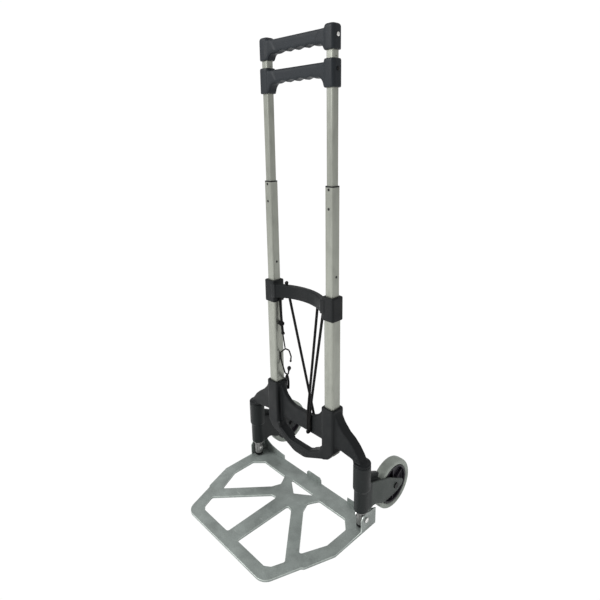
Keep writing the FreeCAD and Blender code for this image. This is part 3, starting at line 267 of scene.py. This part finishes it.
class Finish:
    """The nodes of one procedural material, placed by the piece's own coordinates."""

    def __init__(self, name, color, roughness, metallic=0.0):
        self.material = bpy.data.materials.new(name)
        self.material.use_nodes = True
        self.nodes = self.material.node_tree.nodes
        self.shader = self.nodes["Principled BSDF"]
        self.set("Base Color", (*color, 1))
        self.set("Roughness", roughness)
        self.set("Metallic", metallic)
        coordinates = self.nodes.new("ShaderNodeTexCoord")
        self.place = coordinates.outputs["Object"]
        self.facing = coordinates.outputs["Normal"]

    def set(self, socket, value):
        """Gives a socket of the shader a constant or a link."""
        feed(self.shader.inputs[socket], value)

    def node(self, kind, **values):
        """Adds a node and gives its sockets their values."""
        node = self.nodes.new(kind)
        for socket, value in values.items():
            feed(node.inputs[socket], value)
        return node

    def stretch(self, x, y, z):
        """Coordinates scaled by different amounts along the piece's axes."""
        return self.node("ShaderNodeMapping", Vector=self.place, Scale=(x, y, z)).outputs["Vector"]

    def noise(self, scale, detail, place=None, rough=0.5):
        """Cloudy noise, larger scales being finer."""
        return self.node("ShaderNodeTexNoise", Vector=place or self.place, Scale=scale,
                         Detail=detail, Roughness=rough).outputs["Fac"]

    def spangle(self, scale):
        """Grey cells, each of one brightness."""
        cells = self.node("ShaderNodeTexVoronoi", Vector=self.place, Scale=scale)
        return self.node("ShaderNodeRGBToBW", Color=cells.outputs["Color"]).outputs["Val"]

    def split(self, vector):
        """The X, Y and Z of a vector."""
        return self.node("ShaderNodeSeparateXYZ", Vector=vector).outputs

    def spread(self, value, low, high, to_low=0.0, to_high=1.0):
        """Maps a range of values to another, clamped and smooth."""
        limits = {"Value": value, "From Min": low, "From Max": high, "To Min": to_low, "To Max": to_high}
        node = self.node("ShaderNodeMapRange", **limits)
        node.interpolation_type = "SMOOTHSTEP"
        return node.outputs["Result"]

    def math(self, operation, *values):
        """One sum on one or two values."""
        node = self.nodes.new("ShaderNodeMath")
        node.operation = operation
        for socket, value in zip(node.inputs, values):
            feed(socket, value)
        return node.outputs["Value"]

    def blend(self, share, one, other):
        """Mixes two colours, each a constant or a link."""
        node = self.nodes.new("ShaderNodeMix")
        node.data_type = "RGBA"
        feed(node.inputs["Factor"], share)
        for socket, value in ((node.inputs[6], one), (node.inputs[7], other)):
            feed(socket, value if isinstance(value, bpy.types.NodeSocket) else (*value, 1))
        return node.outputs[2]

    def bump(self, height, distance, strength):
        """Relief from a height, its depth in metres."""
        return self.node("ShaderNodeBump", Height=height, Distance=distance,
                         Strength=strength).outputs["Normal"]


def shade(color, factor):
    """A colour made paler or darker."""
    return tuple(min(1.0, value * factor) for value in color)


def make_tube_finish(color):
    """Anodised extrusion: fine lengthwise lines, faint handling marks."""
    finish = Finish("anodised_tube", color, 0.34, metallic=0.72)
    lines = finish.noise(1.0, 2, finish.stretch(900, 900, 9))
    marks = finish.noise(1.0, 4, finish.stretch(70, 70, 26))
    base = finish.blend(finish.spread(lines, 0.3, 0.7), shade(color, 0.93), shade(color, 1.05))
    finish.set("Base Color", finish.blend(finish.spread(marks, 0.45, 0.72), base, shade(color, 0.86)))
    finish.set("Roughness", finish.spread(lines, 0.25, 0.75, 0.30, 0.42))
    finish.set("Normal", finish.bump(lines, 0.03 * MM, 0.5))
    return finish.material


def make_moulding_finish(name, color, rough=0.52, scuff=1.35, dusty=None):
    """Spark-textured plastic with rubbed corners; a dusty colour covers the forks' outer cheeks, and the
    dark plastic kept in the gap behind each sleeve and on the web beside each leg is painted shade.
    """
    finish = Finish(name, color, rough)
    grain = finish.noise(1700, 2)
    cloud = finish.noise(28, 4)
    rubbed = finish.spread(finish.noise(95, 5, rough=0.62), 0.55, 0.72)
    base = finish.blend(finish.spread(cloud, 0.3, 0.7), shade(color, 0.88), shade(color, 1.12))
    base = finish.blend(rubbed, base, shade(color, scuff))
    if dusty:
        place = finish.split(finish.place)
        # the dusty colour stops short of the sleeve and of the leg, so the dark plastic left in that gap
        # and on the web there is painted shade
        past_painted_gap_shade = finish.spread(place["Y"], TUBE_Y + 10 * MM, TUBE_Y + 22 * MM)
        beyond_painted_web_shade = finish.spread(finish.math("ABSOLUTE", place["X"]), LEG_X + 13 * MM, LEG_X + 15 * MM)
        base = finish.blend(finish.math("MULTIPLY", past_painted_gap_shade, beyond_painted_web_shade), base, dusty)
    finish.set("Base Color", base)
    finish.set("Roughness", finish.spread(cloud, 0.3, 0.7, rough - 0.07, rough + 0.08))
    finish.set("Specular IOR Level", 0.13)
    finish.set("Normal", finish.bump(grain, 0.12 * MM, 0.55))
    return finish.material


def make_plate_finish(color, wear_and_highlight):
    """Coated steel with a mottled grain; scratches show bare metal, and the rounded edges and corners are
    paler, partly bare metal and partly painted highlight.
    """
    finish = Finish("coated_plate", color, 0.42, metallic=0.35)
    blotch = finish.noise(22, 5, rough=0.6)
    fine = finish.noise(420, 4, rough=0.65)
    upward = finish.math("ABSOLUTE", finish.split(finish.facing)["Z"])
    # faces that slope between the top and the sides are the rounded rims; the pale colour laid on them in
    # patches is partly bare-metal wear and partly painted highlight
    rim_highlight_slope = finish.math("MULTIPLY", finish.spread(upward, 0.15, 0.45), finish.spread(upward, 0.98, 0.8))
    edge = finish.math("MULTIPLY", rim_highlight_slope, finish.spread(blotch, 0.25, 0.5))
    tone = finish.math("ADD", finish.math("MULTIPLY", blotch, 0.6), finish.math("MULTIPLY", fine, 0.4))
    base = finish.blend(finish.spread(tone, 0.34, 0.66), shade(color, 0.72), shade(color, 1.22))
    base = finish.blend(finish.math("MULTIPLY", finish.spangle(95), 0.28), base, shade(color, 1.3))
    scratched = finish.spread(finish.noise(1.0, 5, finish.stretch(30, 260, 60), 0.7), 0.62, 0.7)
    base = finish.blend(finish.math("MULTIPLY", scratched, 0.45), base, wear_and_highlight)
    finish.set("Base Color", finish.blend(edge, base, wear_and_highlight))
    finish.set("Roughness", finish.spread(tone, 0.3, 0.7, 0.34, 0.5))
    finish.set("Normal", finish.bump(fine, 0.18 * MM, 0.5))
    return finish.material


def make_tyre_finish(color):
    """Solid grey tyre with a dusty tread."""
    finish = Finish("grey_tyre", color, 0.6)
    cloud = finish.noise(42, 5, rough=0.6)
    dust = finish.spread(cloud, 0.32, 0.68)
    finish.set("Base Color", finish.blend(dust, shade(color, 0.8), shade(color, 1.08)))
    finish.set("Roughness", finish.spread(cloud, 0.3, 0.7, 0.52, 0.68))
    finish.set("Specular IOR Level", 0.35)
    finish.set("Normal", finish.bump(finish.noise(900, 3), 0.12 * MM, 0.5))
    return finish.material


def make_steel_finish(name, color, rough=0.28):
    """Plated steel with fine wear."""
    finish = Finish(name, color, rough, metallic=0.95)
    wear = finish.noise(260, 4)
    finish.set("Base Color", finish.blend(finish.spread(wear, 0.35, 0.7), color, shade(color, 0.78)))
    finish.set("Roughness", finish.spread(wear, 0.3, 0.7, rough - 0.06, rough + 0.12))
    finish.set("Normal", finish.bump(wear, 0.04 * MM, 0.4))
    return finish.material


def make_cord_finish(color):
    """Braided sheath: two crossing sets of slanted strands."""
    finish = Finish("cord_braid", color, 0.78)
    place = finish.split(finish.place)
    rise = finish.math("MULTIPLY", place["Z"], 2600)
    strands = []
    for slope in (1700, -1700):
        across = finish.math("MULTIPLY", finish.math("ADD", place["X"], place["Y"]), slope)
        strands.append(finish.math("SINE", finish.math("ADD", rise, across)))
    weave = finish.spread(finish.math("MAXIMUM", *strands), -0.2, 1.0)
    finish.set("Base Color", finish.blend(weave, shade(color, 0.5), shade(color, 1.5)))
    finish.set("Specular IOR Level", 0.15)
    finish.set("Normal", finish.bump(weave, 0.25 * MM, 0.8))
    return finish.material


MADE_FINISHES = {}


def finish_for(key):
    """The material for a finish, made once, in the sidebar's colours."""
    colors = bpy.context.scene.truck_finishes
    makers = {
        "tube": lambda: make_tube_finish(tuple(colors.tube)),
        "moulding": lambda: make_moulding_finish("charcoal_moulding", tuple(colors.moulding)),
        "grip": lambda: make_moulding_finish("grip_moulding", tuple(colors.grip), rough=0.5),
        "fork": lambda: make_moulding_finish("fork_moulding", tuple(colors.fork), rough=0.48,
                                             dusty=tuple(colors.cheek)),
        "black": lambda: make_moulding_finish("black_moulding", tuple(colors.black), 0.45, scuff=1.2),
        "hub": lambda: make_moulding_finish("hub_moulding", tuple(colors.hub), 0.4, scuff=1.3),
        "plate": lambda: make_plate_finish(tuple(colors.plate), tuple(colors.wear_and_highlight)),
        "tyre": lambda: make_tyre_finish(tuple(colors.tyre)),
        "steel": lambda: make_steel_finish("bright_steel", tuple(colors.steel)),
        "leg": lambda: make_steel_finish("leg_steel", shade(tuple(colors.steel), 0.36), rough=0.4),
        "wire": lambda: make_steel_finish("dark_wire", tuple(colors.wire), rough=0.35),
        "cord": lambda: make_cord_finish(tuple(colors.cord)),
    }
    if key not in MADE_FINISHES:
        MADE_FINISHES[key] = makers[key]()
    return MADE_FINISHES[key]


# ---------------------------------------------------------------- modelling helpers

def add_piece(name, mesh, body, key):
    """Puts a finished mesh in the scene, riding on a body of the frame."""
    piece = bpy.data.objects.new(name, mesh)
    bpy.context.scene.collection.objects.link(piece)
    mesh.materials.append(finish_for(key))
    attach(piece, body)
    return piece


def to_mesh(name, shape, crisp=None):
    """Turns a bmesh into a smooth-shaded mesh, with edges past an angle in degrees kept crisp."""
    mesh = bpy.data.meshes.new(name)
    for face in shape.faces:
        face.smooth = True
    shape.to_mesh(mesh)
    shape.free()
    if crisp is not None:
        mesh.set_sharp_from_angle(angle=math.radians(crisp))
    return mesh


def merged_copy(node):
    """A frame part's mesh as one merged shell."""
    shape = bmesh.new()
    shape.from_mesh(frame["nodes"][node].data)
    bmesh.ops.remove_doubles(shape, verts=shape.verts, dist=WELD)
    return shape


def recast(name, shape, grain, passes):
    """Melts overlapping closed shells into one skin and eases its edges."""
    raw = bpy.data.objects.new(f"{name}_raw", to_mesh(f"{name}_raw", shape))
    bpy.context.scene.collection.objects.link(raw)
    melt = raw.modifiers.new("melt", "REMESH")
    melt.mode = "VOXEL"
    melt.voxel_size = grain
    graph = bpy.context.evaluated_depsgraph_get()
    graph.update()
    melted = bpy.data.meshes.new_from_object(raw.evaluated_get(graph))
    bpy.data.objects.remove(raw)
    skin = bmesh.new()
    skin.from_mesh(melted)
    for _ in range(passes):
        bmesh.ops.smooth_vert(skin, verts=skin.verts, factor=0.5, use_axis_x=True, use_axis_y=True,
                              use_axis_z=True)
    return to_mesh(name, skin)


def turn_section(section, steps, place):
    """Spins a closed section of (across, radius) points about an axle along X."""
    shape = bmesh.new()
    ring = [shape.verts.new(place + Vector((across, 0, radius))) for across, radius in section]
    edges = [shape.edges.new((one, ring[(index + 1) % len(ring)])) for index, one in enumerate(ring)]
    bmesh.ops.spin(shape, geom=ring + edges, cent=place, axis=(1, 0, 0), angle=math.tau, steps=steps,
                   use_merge=True)
    bmesh.ops.remove_doubles(shape, verts=shape.verts, dist=WELD)
    bmesh.ops.recalc_face_normals(shape, faces=shape.faces)
    return shape


def edges_of(verts):
    """The edges that meet some vertices, each once and always in the same order."""
    return list(dict.fromkeys(edge for vert in verts for edge in vert.link_edges))


def add_ball(shape, radius, turn):
    """Adds a ball, put in place and stretched by a matrix."""
    bmesh.ops.create_uvsphere(shape, u_segments=24, v_segments=14, radius=radius, matrix=turn)


def add_ring(shape, radius, thick, turn, steps=28, sides=10):
    """Adds a closed round loop of cord, put in place by a matrix."""
    upright = Matrix.Rotation(math.pi / 2, 4, "Y") @ Matrix.Rotation(math.pi / 2, 4, "X")
    circle = bmesh.ops.create_circle(shape, segments=sides, radius=thick,
                                     matrix=turn @ Matrix.Translation((radius, 0, 0)) @ upright)
    line = circle["verts"] + edges_of(circle["verts"])
    bmesh.ops.spin(shape, geom=line, cent=turn.translation, axis=turn.to_3x3() @ Vector((0, 0, 1)),
                   angle=math.tau, steps=steps, use_merge=True)


def add_disc(shape, radius, thick, turn):
    """Adds a flat round plug, put in place by a matrix."""
    bmesh.ops.create_cone(shape, cap_ends=True, segments=24, radius1=radius, radius2=radius, depth=thick,
                          matrix=turn)


def add_dome(shape, low, high, axis, sign):
    """Adds one low dome over a fastener's flat head."""
    middle = (low + high) / 2
    radius = (high.z - low.z) / 2
    if axis == "x":
        place = Vector((high.x if sign > 0 else low.x, middle.y, middle.z))
        squash = Matrix.Diagonal((DOME_HEIGHT, 1, 1, 1))
    else:
        place = Vector((sign * TUBE_X, high.y, middle.z))
        squash = Matrix.Diagonal((1, DOME_HEIGHT, 1, 1))
    add_ball(shape, radius * DOME_SHARE, Matrix.Translation(place) @ squash)


def tyre_section(rim, tread, half_width, square):
    """A tyre's section as (across, radius) points, between a circle and a box in shape."""
    middle, half_height = (rim + tread) / 2, (tread - rim) / 2
    power = 2 / square
    section = []
    for point in range(TYRE_POINTS):
        angle = math.tau * point / TYRE_POINTS
        across, out = math.cos(angle), math.sin(angle)
        section.append((half_width * math.copysign(abs(across) ** power, across),
                        middle + half_height * math.copysign(abs(out) ** power, out)))
    return section


def hub_section(rim, barrel, lip):
    """A hub's section: a barrel inside the tyre, a disc in its middle and a boss round the axle."""
    half = [
        (lip, rim), (lip, barrel + 1.2 * MM), (lip - 1.5 * MM, barrel), (HUB_HALF_DISC + 2 * MM, barrel),
        (HUB_HALF_DISC, barrel - 2 * MM), (HUB_HALF_DISC, HUB_BOSS + 2 * MM),
        (HUB_HALF_DISC + 2 * MM, HUB_BOSS), (lip - 1 * MM, HUB_BOSS - 1 * MM),
        (lip, HUB_BOSS - 2 * MM), (lip, HUB_BORE),
    ]
    return half + [(-across, radius) for across, radius in reversed(half)]


def add_rib(hub, share, barrel, lip, place):
    """Adds one eased rib from the boss to the barrel, a share of a turn round the axle."""
    turn = Matrix.Translation(place) @ Matrix.Rotation(math.tau * share, 4, "X")
    turn = turn @ Matrix.Translation((0, 0, (barrel + HUB_BOSS) / 2))
    size = (2 * (lip - RIB_INSET), RIB_THICK, barrel - HUB_BOSS + 2 * RIB_ROOT, 1)
    verts = bmesh.ops.create_cube(hub, size=1, matrix=turn @ Matrix.Diagonal(size))["verts"]
    bmesh.ops.bevel(hub, geom=edges_of(verts), offset=0.7 * MM, segments=2, profile=0.5, affect="EDGES",
                    material=-1)


# ---------------------------------------------------------------- stage

def add_floor(scene, stage):
    """A pale floor that lights the truck evenly and looks plain white."""
    shape = bmesh.new()
    bmesh.ops.create_grid(shape, x_segments=1, y_segments=1, size=stage.floor_size / 2)
    mesh = bpy.data.meshes.new("floor")
    shape.to_mesh(mesh)
    shape.free()
    floor = bpy.data.objects.new("floor", mesh)
    scene.collection.objects.link(floor)
    finish = Finish("pale_floor", (stage.floor_tone,) * 3, 0.75)
    finish.set("Emission Color", WHITE)
    finish.set("Emission Strength", stage.floor_glow)
    seen = finish.node("ShaderNodeLightPath").outputs["Is Camera Ray"]
    white = finish.node("ShaderNodeEmission", Color=WHITE, Strength=stage.white)
    either = finish.node("ShaderNodeMixShader", Fac=seen)
    feed(either.inputs[1], finish.shader.outputs["BSDF"])
    feed(either.inputs[2], white.outputs["Emission"])
    feed(finish.nodes["Material Output"].inputs["Surface"], either.outputs["Shader"])
    mesh.materials.append(finish.material)


def add_sky(scene, stage):
    """Even light from all round, in front of a plain white backdrop."""
    world = bpy.data.worlds.new("studio")
    scene.world = world
    world.use_nodes = True
    nodes = world.node_tree.nodes
    seen = nodes.new("ShaderNodeLightPath")
    strength = nodes.new("ShaderNodeMapRange")
    feed(strength.inputs["Value"], seen.outputs["Is Camera Ray"])
    feed(strength.inputs["To Min"], stage.sky)
    feed(strength.inputs["To Max"], stage.white)
    feed(nodes["Background"].inputs["Color"], WHITE)
    feed(nodes["Background"].inputs["Strength"], strength.outputs["Result"])


def add_light(name, place, aim, size, power):
    """A round soft light that faces a point."""
    data = bpy.data.lights.new(name, "AREA")
    data.shape = "DISK"
    data.size = size
    data.energy = power
    lamp = bpy.data.objects.new(name, data)
    bpy.context.scene.collection.objects.link(lamp)
    direction = Vector(aim) - Vector(place)
    lamp.matrix_world = Matrix.Translation(place) @ direction.to_track_quat("-Z", "Y").to_matrix().to_4x4()


def add_camera(scene, lens):
    """The camera, in front of the truck and to its right."""
    data = bpy.data.cameras.new("camera")
    camera = bpy.data.objects.new("camera", data)
    scene.collection.objects.link(camera)
    data.lens = lens
    data.sensor_width = SENSOR_WIDTH
    data.shift_x, data.shift_y = CAMERA_SHIFT
    yaw, dip, roll = (math.radians(angle) for angle in CAMERA_TURN)
    turn = Matrix.Rotation(yaw, 4, "Z") @ Matrix.Rotation(math.pi / 2 - dip, 4, "X")
    turn = turn @ Matrix.Rotation(roll, 4, "Z")
    camera.matrix_world = Matrix.Translation(CAMERA_PLACE) @ turn
    scene.camera = camera


# ---------------------------------------------------------------- operators

class TRUCK_OT_stage(bpy.types.Operator):
    """Set the floor, the lights and the camera"""
    bl_idname = "truck.stage"
    bl_label = "Stage"

    def execute(self, context):
        scene = context.scene
        stage = scene.truck_stage
        add_floor(scene, stage)
        add_sky(scene, stage)
        add_light("key_light", place=(-1.0, -2.2, 2.1), aim=(0, 0, 0.5), size=1.6, power=stage.key)
        add_light("fill_light", place=(2.6, -0.4, 1.4), aim=(0, 0, 0.4), size=1.4, power=stage.fill)
        add_camera(scene, stage.lens)
        scene.view_settings.view_transform = "Standard"
        return {"FINISHED"}


class TRUCK_OT_cords(bpy.types.Operator):
    """Make the elastic cords between the crossbar and the yoke"""
    bl_idname = "truck.cords"
    bl_label = "Cords"

    def execute(self, context):
        for name, points in CORD_RUNS.items():
            curve = bpy.data.curves.new(f"{name}_elastic", "CURVE")
            curve.dimensions = "3D"
            spline = curve.splines.new("NURBS")
            spline.points.add(len(points) - 1)
            for point, place in zip(spline.points, points):
                point.co = (*place, 1)
            spline.order_u = 3
            spline.use_endpoint_u = True
            spline.resolution_u = 16
            curve.bevel_depth = CORD_RADIUS
            curve.bevel_resolution = 6
            curve.use_fill_caps = True
            cord = bpy.data.objects.new(f"{name}_elastic", curve)
            context.scene.collection.objects.link(cord)
            curve.materials.append(finish_for("cord"))
            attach(cord, "base_frame")
            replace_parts(cord, name)
        return {"FINISHED"}


class TRUCK_OT_knots(bpy.types.Operator):
    """Tie the knots at the ends of the cords"""
    bl_idname = "truck.knots"
    bl_label = "Knots"

    def execute(self, context):
        shape = bmesh.new()
        for number, (place, size) in enumerate(KNOTS):
            middle = Matrix.Translation(place)
            add_ball(shape, size, middle @ Matrix.Diagonal((0.82, 0.82, 0.92, 1)))
            strand = size * 0.42
            for wrap, tilt in enumerate(WRAP_TILTS):
                turn = Matrix.Rotation(math.radians(tilt), 4, "X" if wrap % 2 else "Y")
                turn = Matrix.Rotation(math.radians(50 * wrap + 25 * number), 4, "Z") @ turn
                add_ring(shape, size - strand, strand, middle @ turn)
        bmesh.ops.recalc_face_normals(shape, faces=shape.faces)
        mesh = to_mesh("cord_knot_wraps", shape)
        knots = add_piece("cord_knot_wraps", mesh, "base_frame", "cord")
        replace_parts(knots, "cord_knots")
        return {"FINISHED"}


class TRUCK_OT_hook_tips(bpy.types.Operator):
    """Put plastic tips on the wire hook's ends"""
    bl_idname = "truck.hook_tips"
    bl_label = "Hook Tips"

    def execute(self, context):
        shape = bmesh.new()
        for place, lean, size in HOOK_TIPS:
            turn = Matrix.Translation(place) @ Matrix.Rotation(math.radians(lean), 4, "Y")
            add_ball(shape, size, turn @ Matrix.Diagonal((1, 1, 1.15, 1)))
            cuff = turn @ Matrix.Translation((0, 0, -size))
            bmesh.ops.create_cone(shape, cap_ends=True, segments=20, radius1=size * 0.55,
                                  radius2=size * 0.75, depth=size * 1.1, matrix=cuff)
        mesh = to_mesh("hook_tips", shape, crisp=40)
        add_piece("hook_tips", mesh, "base_frame", "black")
        return {"FINISHED"}


class TRUCK_OT_mouldings(bpy.types.Operator):
    """Mould the yoke, the crossbar, the grips and the forks with eased edges"""
    bl_idname = "truck.mouldings"
    bl_label = "Mouldings"

    def execute(self, context):
        sizes = context.scene.truck_sizes
        for node, body, key, slot in MOULDINGS:
            grain = sizes.yoke_grain if node == "base_yoke" else sizes.moulding_grain
            passes = sizes.grip_easing if key == "grip" else sizes.easing
            mesh = recast(f"{node}_moulding", merged_copy(node), grain, passes)
            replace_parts(add_piece(f"{node}_moulding", mesh, body, key), node)
        return {"FINISHED"}


class TRUCK_OT_toe_plate(bpy.types.Operator):
    """Round the toe plate's upper rims"""
    bl_idname = "truck.toe_plate"
    bl_label = "Toe Plate"

    def execute(self, context):
        width = context.scene.truck_sizes.rim_rounding
        shape = merged_copy("toe_plate")
        bmesh.ops.dissolve_limit(shape, angle_limit=math.radians(0.5), verts=shape.verts, edges=shape.edges)
        rims = [
            edge for edge in shape.edges
            if len(edge.link_faces) == 2 and edge.is_convex and edge.calc_face_angle() > RIM_ANGLE
            and all(abs(vert.co.z - PLATE_TOP) < 0.05 * MM for vert in edge.verts)
        ]
        bmesh.ops.bevel(shape, geom=rims, offset=width, offset_type="OFFSET", segments=3, profile=0.5,
                        affect="EDGES", clamp_overlap=False, material=-1)
        mesh = to_mesh("toe_plate_pressing", shape, crisp=35)
        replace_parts(add_piece("toe_plate_pressing", mesh, "toe_plate", "plate"), "toe_plate")
        return {"FINISHED"}


class TRUCK_OT_wheels(bpy.types.Operator):
    """Make the solid tyres and the ribbed hubs"""
    bl_idname = "truck.wheels"
    bl_label = "Wheels"

    def execute(self, context):
        sizes = context.scene.truck_sizes
        low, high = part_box("wheel_hub_right")
        rim, lip = (high.z - low.z) / 2, (high.x - low.x) / 2
        barrel = rim - HUB_WALL
        tread, half_width = (TYRE_HIGH.z - TYRE_LOW.z) / 2, (TYRE_HIGH.x - TYRE_LOW.x) / 2
        tyre_line = tyre_section(rim, tread, half_width, sizes.tyre_square)
        hub_line = hub_section(rim, barrel, lip)
        for side, sign in SIDES:
            place = Vector((sign * WHEEL.x, WHEEL.y, WHEEL.z))
            mesh = to_mesh(f"tyre_{side}_tread", turn_section(tyre_line, TYRE_STEPS, place))
            tyre = add_piece(f"tyre_{side}_tread", mesh, f"wheel_{side}", "tyre")
            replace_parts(tyre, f"tyre_{side}")

            shape = turn_section(hub_line, HUB_STEPS, place)
            for rib in range(sizes.hub_ribs):
                add_rib(shape, rib / sizes.hub_ribs, barrel, lip, place)
            mesh = to_mesh(f"wheel_hub_{side}_ribbed", shape, crisp=38)
            hub = add_piece(f"wheel_hub_{side}_ribbed", mesh, f"wheel_{side}", "hub")
            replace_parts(hub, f"wheel_hub_{side}")
        return {"FINISHED"}


class TRUCK_OT_fasteners(bpy.types.Operator):
    """Dome the heads of the rivets and the screws"""
    bl_idname = "truck.fasteners"
    bl_label = "Fasteners"

    def execute(self, context):
        for node, body, key, axis in FASTENERS:
            low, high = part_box(node)
            shape = bmesh.new()
            for sign in (-1, 1):
                add_dome(shape, low, high, axis, sign)
            mesh = to_mesh(f"{node}_heads", shape, crisp=40)
            add_piece(f"{node}_heads", mesh, body, key)
        return {"FINISHED"}


class TRUCK_OT_lugs(bpy.types.Operator):
    """Put dark snap lugs in the middle tubes' fronts and a plug in their side holes"""
    bl_idname = "truck.lugs"
    bl_label = "Lugs"

    def execute(self, context):
        radius = context.scene.truck_sizes.lug_radius
        out = LUG_PROUD - LUG_THICK / 2
        facing_front = Matrix.Rotation(math.pi / 2, 4, "X")
        facing_right = Matrix.Rotation(math.pi / 2, 4, "Y")
        for side, _ in SIDES:
            low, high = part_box(f"mid_tube_{side}")
            middle = (low + high) / 2
            shape = bmesh.new()
            for drop in LUG_DROPS:
                place = Matrix.Translation((middle.x, low.y - out, high.z - drop))
                add_disc(shape, radius, LUG_THICK, place @ facing_front)
            place = Matrix.Translation((high.x + out, middle.y, high.z - PLUG_DROP))
            add_disc(shape, radius, LUG_THICK, place @ facing_right)
            mesh = to_mesh(f"mid_lugs_{side}", shape, crisp=40)
            add_piece(f"mid_lugs_{side}", mesh, f"mid_{side}", "black")
        return {"FINISHED"}


class TRUCK_OT_dress_frame(bpy.types.Operator):
    """Finish the frame parts that show as they are"""
    bl_idname = "truck.dress_frame"
    bl_label = "Dress Frame"

    def execute(self, context):
        for row in frame["record"]["subparts"]:
            node = row["node"]
            slots = frame["nodes"][node].data.materials
            slots.clear()
            slots.append(finish_for(PART_FINISHES.get(node, SLOT_FINISHES[row["material_slot"]])))
        return {"FINISHED"}


class TRUCK_PT_sidebar(bpy.types.Panel):
    """Lists the truck's sizes, finishes, stage and pieces"""
    bl_idname = "TRUCK_PT_sidebar"
    bl_label = "Hand Truck"
    bl_space_type = "VIEW_3D"
    bl_region_type = "UI"
    bl_category = "Hand Truck"

    def draw(self, context):
        for group in (context.scene.truck_sizes, context.scene.truck_finishes, context.scene.truck_stage):
            box = self.layout.box()
            for name in group.__annotations__:
                box.prop(group, name)
        for operator in OPERATORS:
            self.layout.operator(operator.bl_idname)


OPERATORS = (
    TRUCK_OT_stage, TRUCK_OT_cords, TRUCK_OT_knots, TRUCK_OT_hook_tips, TRUCK_OT_mouldings,
    TRUCK_OT_toe_plate, TRUCK_OT_wheels, TRUCK_OT_fasteners, TRUCK_OT_lugs, TRUCK_OT_dress_frame,
)
CLASSES = (TruckSizes, TruckFinishes, TruckStage, *OPERATORS, TRUCK_PT_sidebar)


def register():
    for item in CLASSES:
        bpy.utils.register_class(item)
    bpy.types.Scene.truck_sizes = PointerProperty(type=TruckSizes)
    bpy.types.Scene.truck_finishes = PointerProperty(type=TruckFinishes)
    bpy.types.Scene.truck_stage = PointerProperty(type=TruckStage)


def unregister():
    del bpy.types.Scene.truck_stage
    del bpy.types.Scene.truck_finishes
    del bpy.types.Scene.truck_sizes
    for item in reversed(CLASSES):
        bpy.utils.unregister_class(item)


def main():
    register()
    bpy.ops.truck.stage()
    bpy.ops.truck.cords()
    bpy.ops.truck.knots()
    bpy.ops.truck.hook_tips()
    bpy.ops.truck.mouldings()
    bpy.ops.truck.toe_plate()
    bpy.ops.truck.wheels()
    bpy.ops.truck.fasteners()
    bpy.ops.truck.lugs()
    bpy.ops.truck.dress_frame()


if __name__ == "__main__":
    main()
